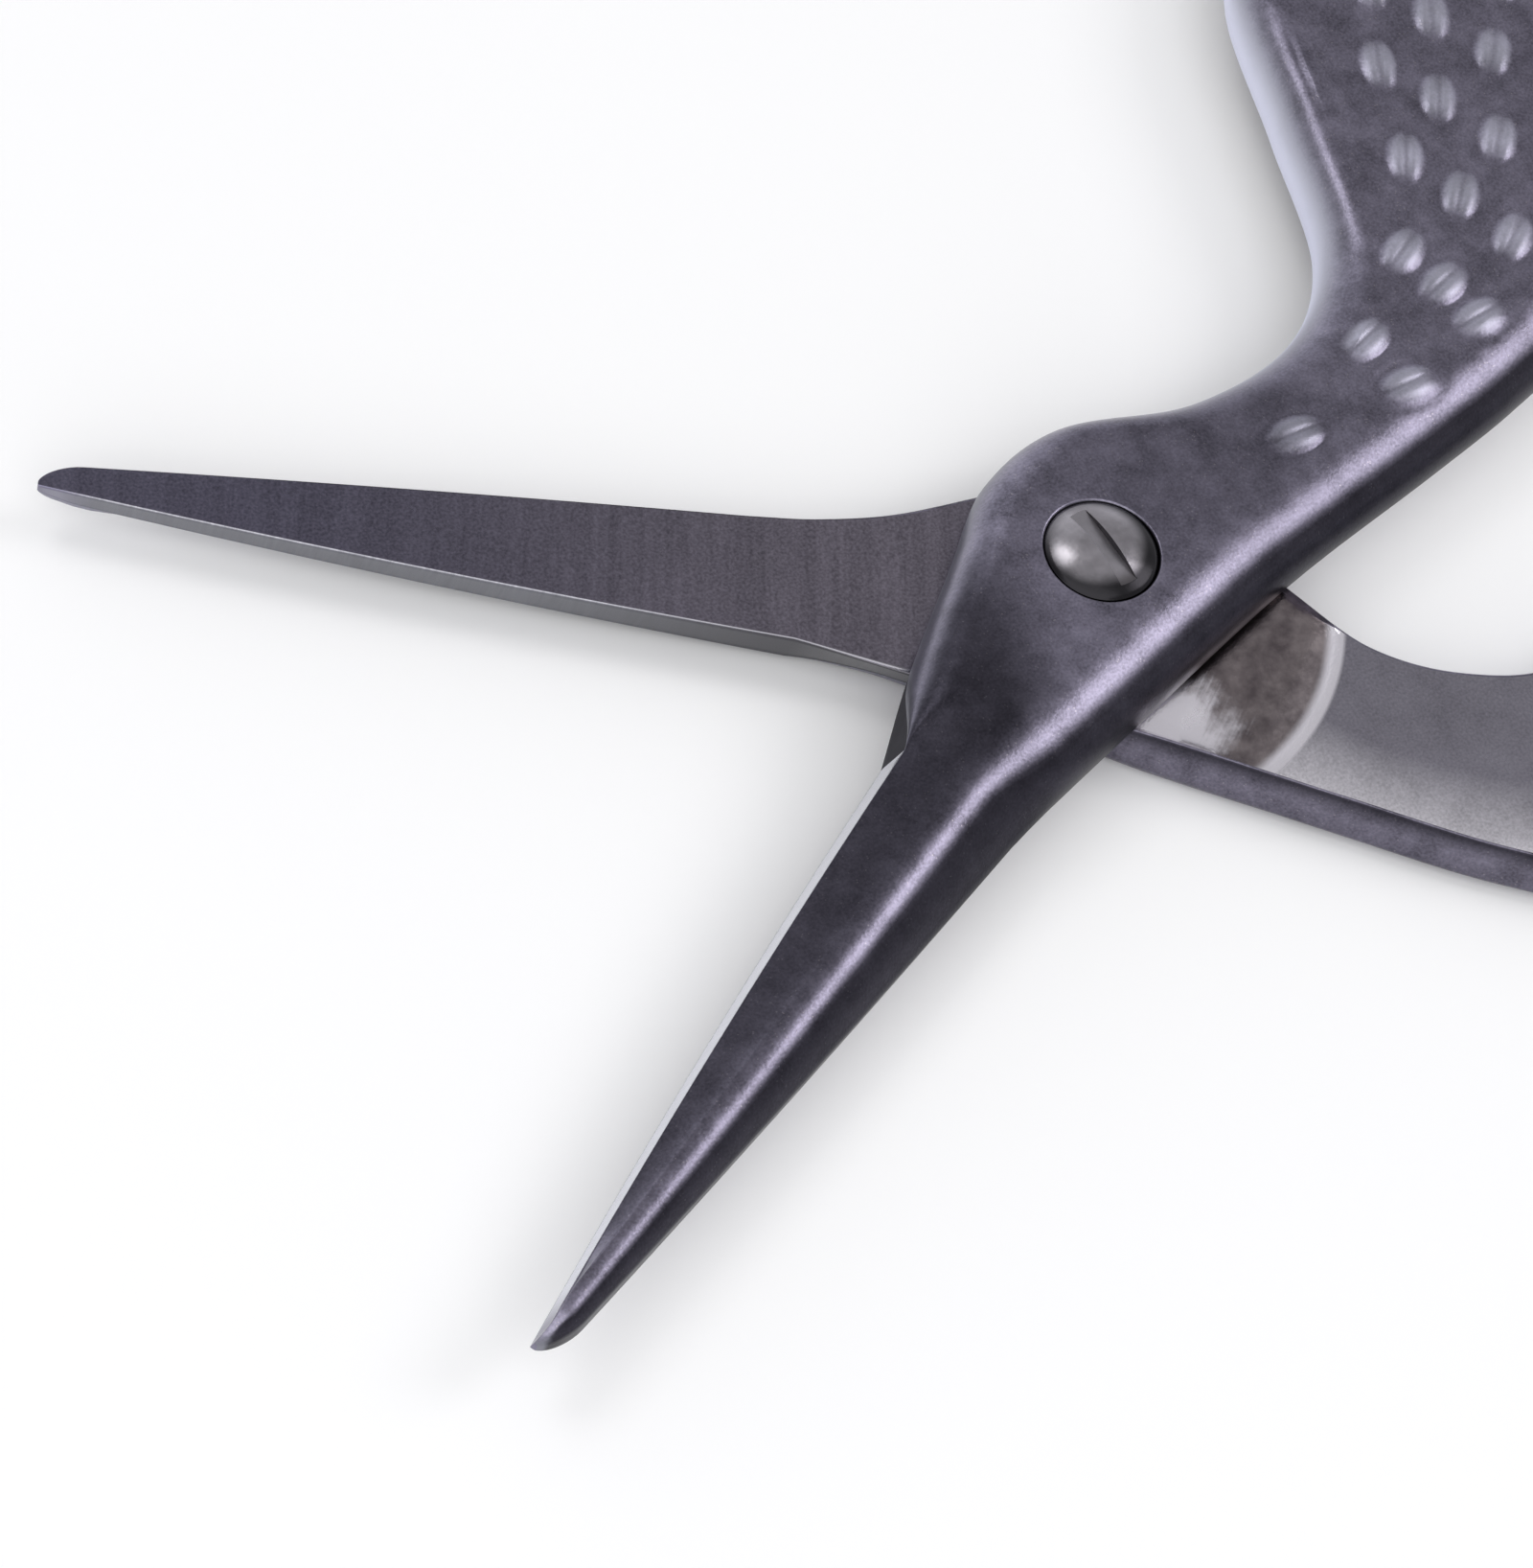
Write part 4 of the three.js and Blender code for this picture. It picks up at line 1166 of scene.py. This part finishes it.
def screw_steel():
    material, tree, place = new_metal("screw_steel")
    cloud = add_group(tree, burnish, place, Cloud_scale=700)["Cloud"]
    crown = blend(tree, cloud, SCREW_DARK, SCREW_LIGHT)
    look(
        tree, Base_Color=blend(tree, rim_shade_mask(tree, place), crown, RIM_SHADE_BLACK),
        Roughness=scaled(tree, cloud, *SCREW_ROUGH), Normal=bumped(tree, cloud, *SCREW_BUMP),
    )
    return material


def slot_finish(name, dark, light):
    material, tree, place = new_metal(name, Roughness=0.4)
    cloud = add_group(tree, burnish, place, Cloud_scale=1500)["Cloud"]
    slot_light_and_shade = blend(tree, cloud, dark, light)
    look(tree, Base_Color=blend(tree, rim_shade_mask(tree, place), slot_light_and_shade, SCREW_DARK))
    return material


slot_floor_finish = slot_finish("slot_floor", SLOT_DARK, SLOT_LIGHT)
# the slot's walls are painted dark, as painted shade
paint(screw, screw_steel(), slot_floor_finish, slot_finish("slot_wall", BLACK_AND_SHADE, SCREW_DARK))

# %% [markdown]
# ## Studio
# A wide white floor lies under the scissors. Behind them stand three softboxes: the right one draws the
# long highlights on the ridge and the neck, the back one the spot on the screw, and the weak left one
# brightens the recess. A large one in front fills the shadows. The world is white at the horizon and grey
# above, like a paper sweep, so that a round edge fades softly from light to dark. Metal shows what it
# mirrors, so the places of the lamps matter more than their number.

# %% Floor, softboxes and world
FLOOR_SIZE = 4  # metres
FLOOR_WHITE = (0.97, 0.97, 0.97, 1)
WORLD_GREY = (0.45, 0.45, 0.46, 1)
HORIZON_WHITE = (0.95, 0.96, 1.0, 1)
GLOW_TOP = radians(30)  # the white of the horizon has faded to the grey at this height
LAMP_DISTANCE = 0.6
SOFTBOXES = [  # name, azimuth, elevation, size in metres, radiance, colour
    ("right_softbox", -18, 42, 0.24, 3.3, (1.0, 0.98, 1.0)),
    ("left_softbox", 86, 34, 0.4, 0.25, (0.93, 0.96, 1.0)),
    ("back_softbox", 112, 58, 0.2, 3, (1.0, 1.0, 1.0)),
    ("front_fill", 225, 50, 0.8, 1.2, (1.0, 1.0, 1.0)),
]

floor_mesh = bmesh.new()
bmesh.ops.create_grid(floor_mesh, x_segments=1, y_segments=1, size=FLOOR_SIZE / 2)
floor = as_object(floor_mesh, "floor")
floor_paint = bpy.data.materials.new("floor_paint")
floor_paint.use_nodes = True
look(floor_paint.node_tree, Base_Color=FLOOR_WHITE, Roughness=0.9)
paint(floor, floor_paint)
floor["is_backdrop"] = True

for name, azimuth, elevation, size, radiance, colour in SOFTBOXES:
    lamp = bpy.data.lights.new(name, "AREA")
    lamp.size = size
    lamp.color = colour
    lamp.energy = radiance * pi * size ** 2
    softbox = add_object(name, lamp)
    towards = direction(azimuth, elevation)
    softbox.location = towards * LAMP_DISTANCE
    softbox.rotation_euler = towards.to_track_quat("Z", "Y").to_euler()

world = bpy.data.worlds.new("studio")
world.use_nodes = True
sky = world.node_tree
ray = add_node(sky, "ShaderNodeSeparateXYZ", Vector=sky.nodes.new("ShaderNodeTexCoord").outputs["Generated"])
height = ramp(sky, ray.outputs["Z"], 0, sin(GLOW_TOP), unit=1)
backdrop = blend(sky, height, HORIZON_WHITE, WORLD_GREY)
feed(sky, sky.nodes["Background"].inputs["Color"], backdrop)
bpy.context.scene.world = world
bpy.context.scene.view_settings.view_transform = "Standard"
print("lamps:", [name for name, *_ in SOFTBOXES])

# %% [markdown]
# The box of the visible pieces is printed beside the box of the solids, to show whether the looks changed
# the object's size.

# %% Print the boxes and finish
boxes = {"cad": [list(corner) for corner in cad_box], "visual": [list(corner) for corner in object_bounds()]}
for name, box in boxes.items():
    print(name, "box", [[round(c / MM, 3) for c in corner] for corner in box], "mm")
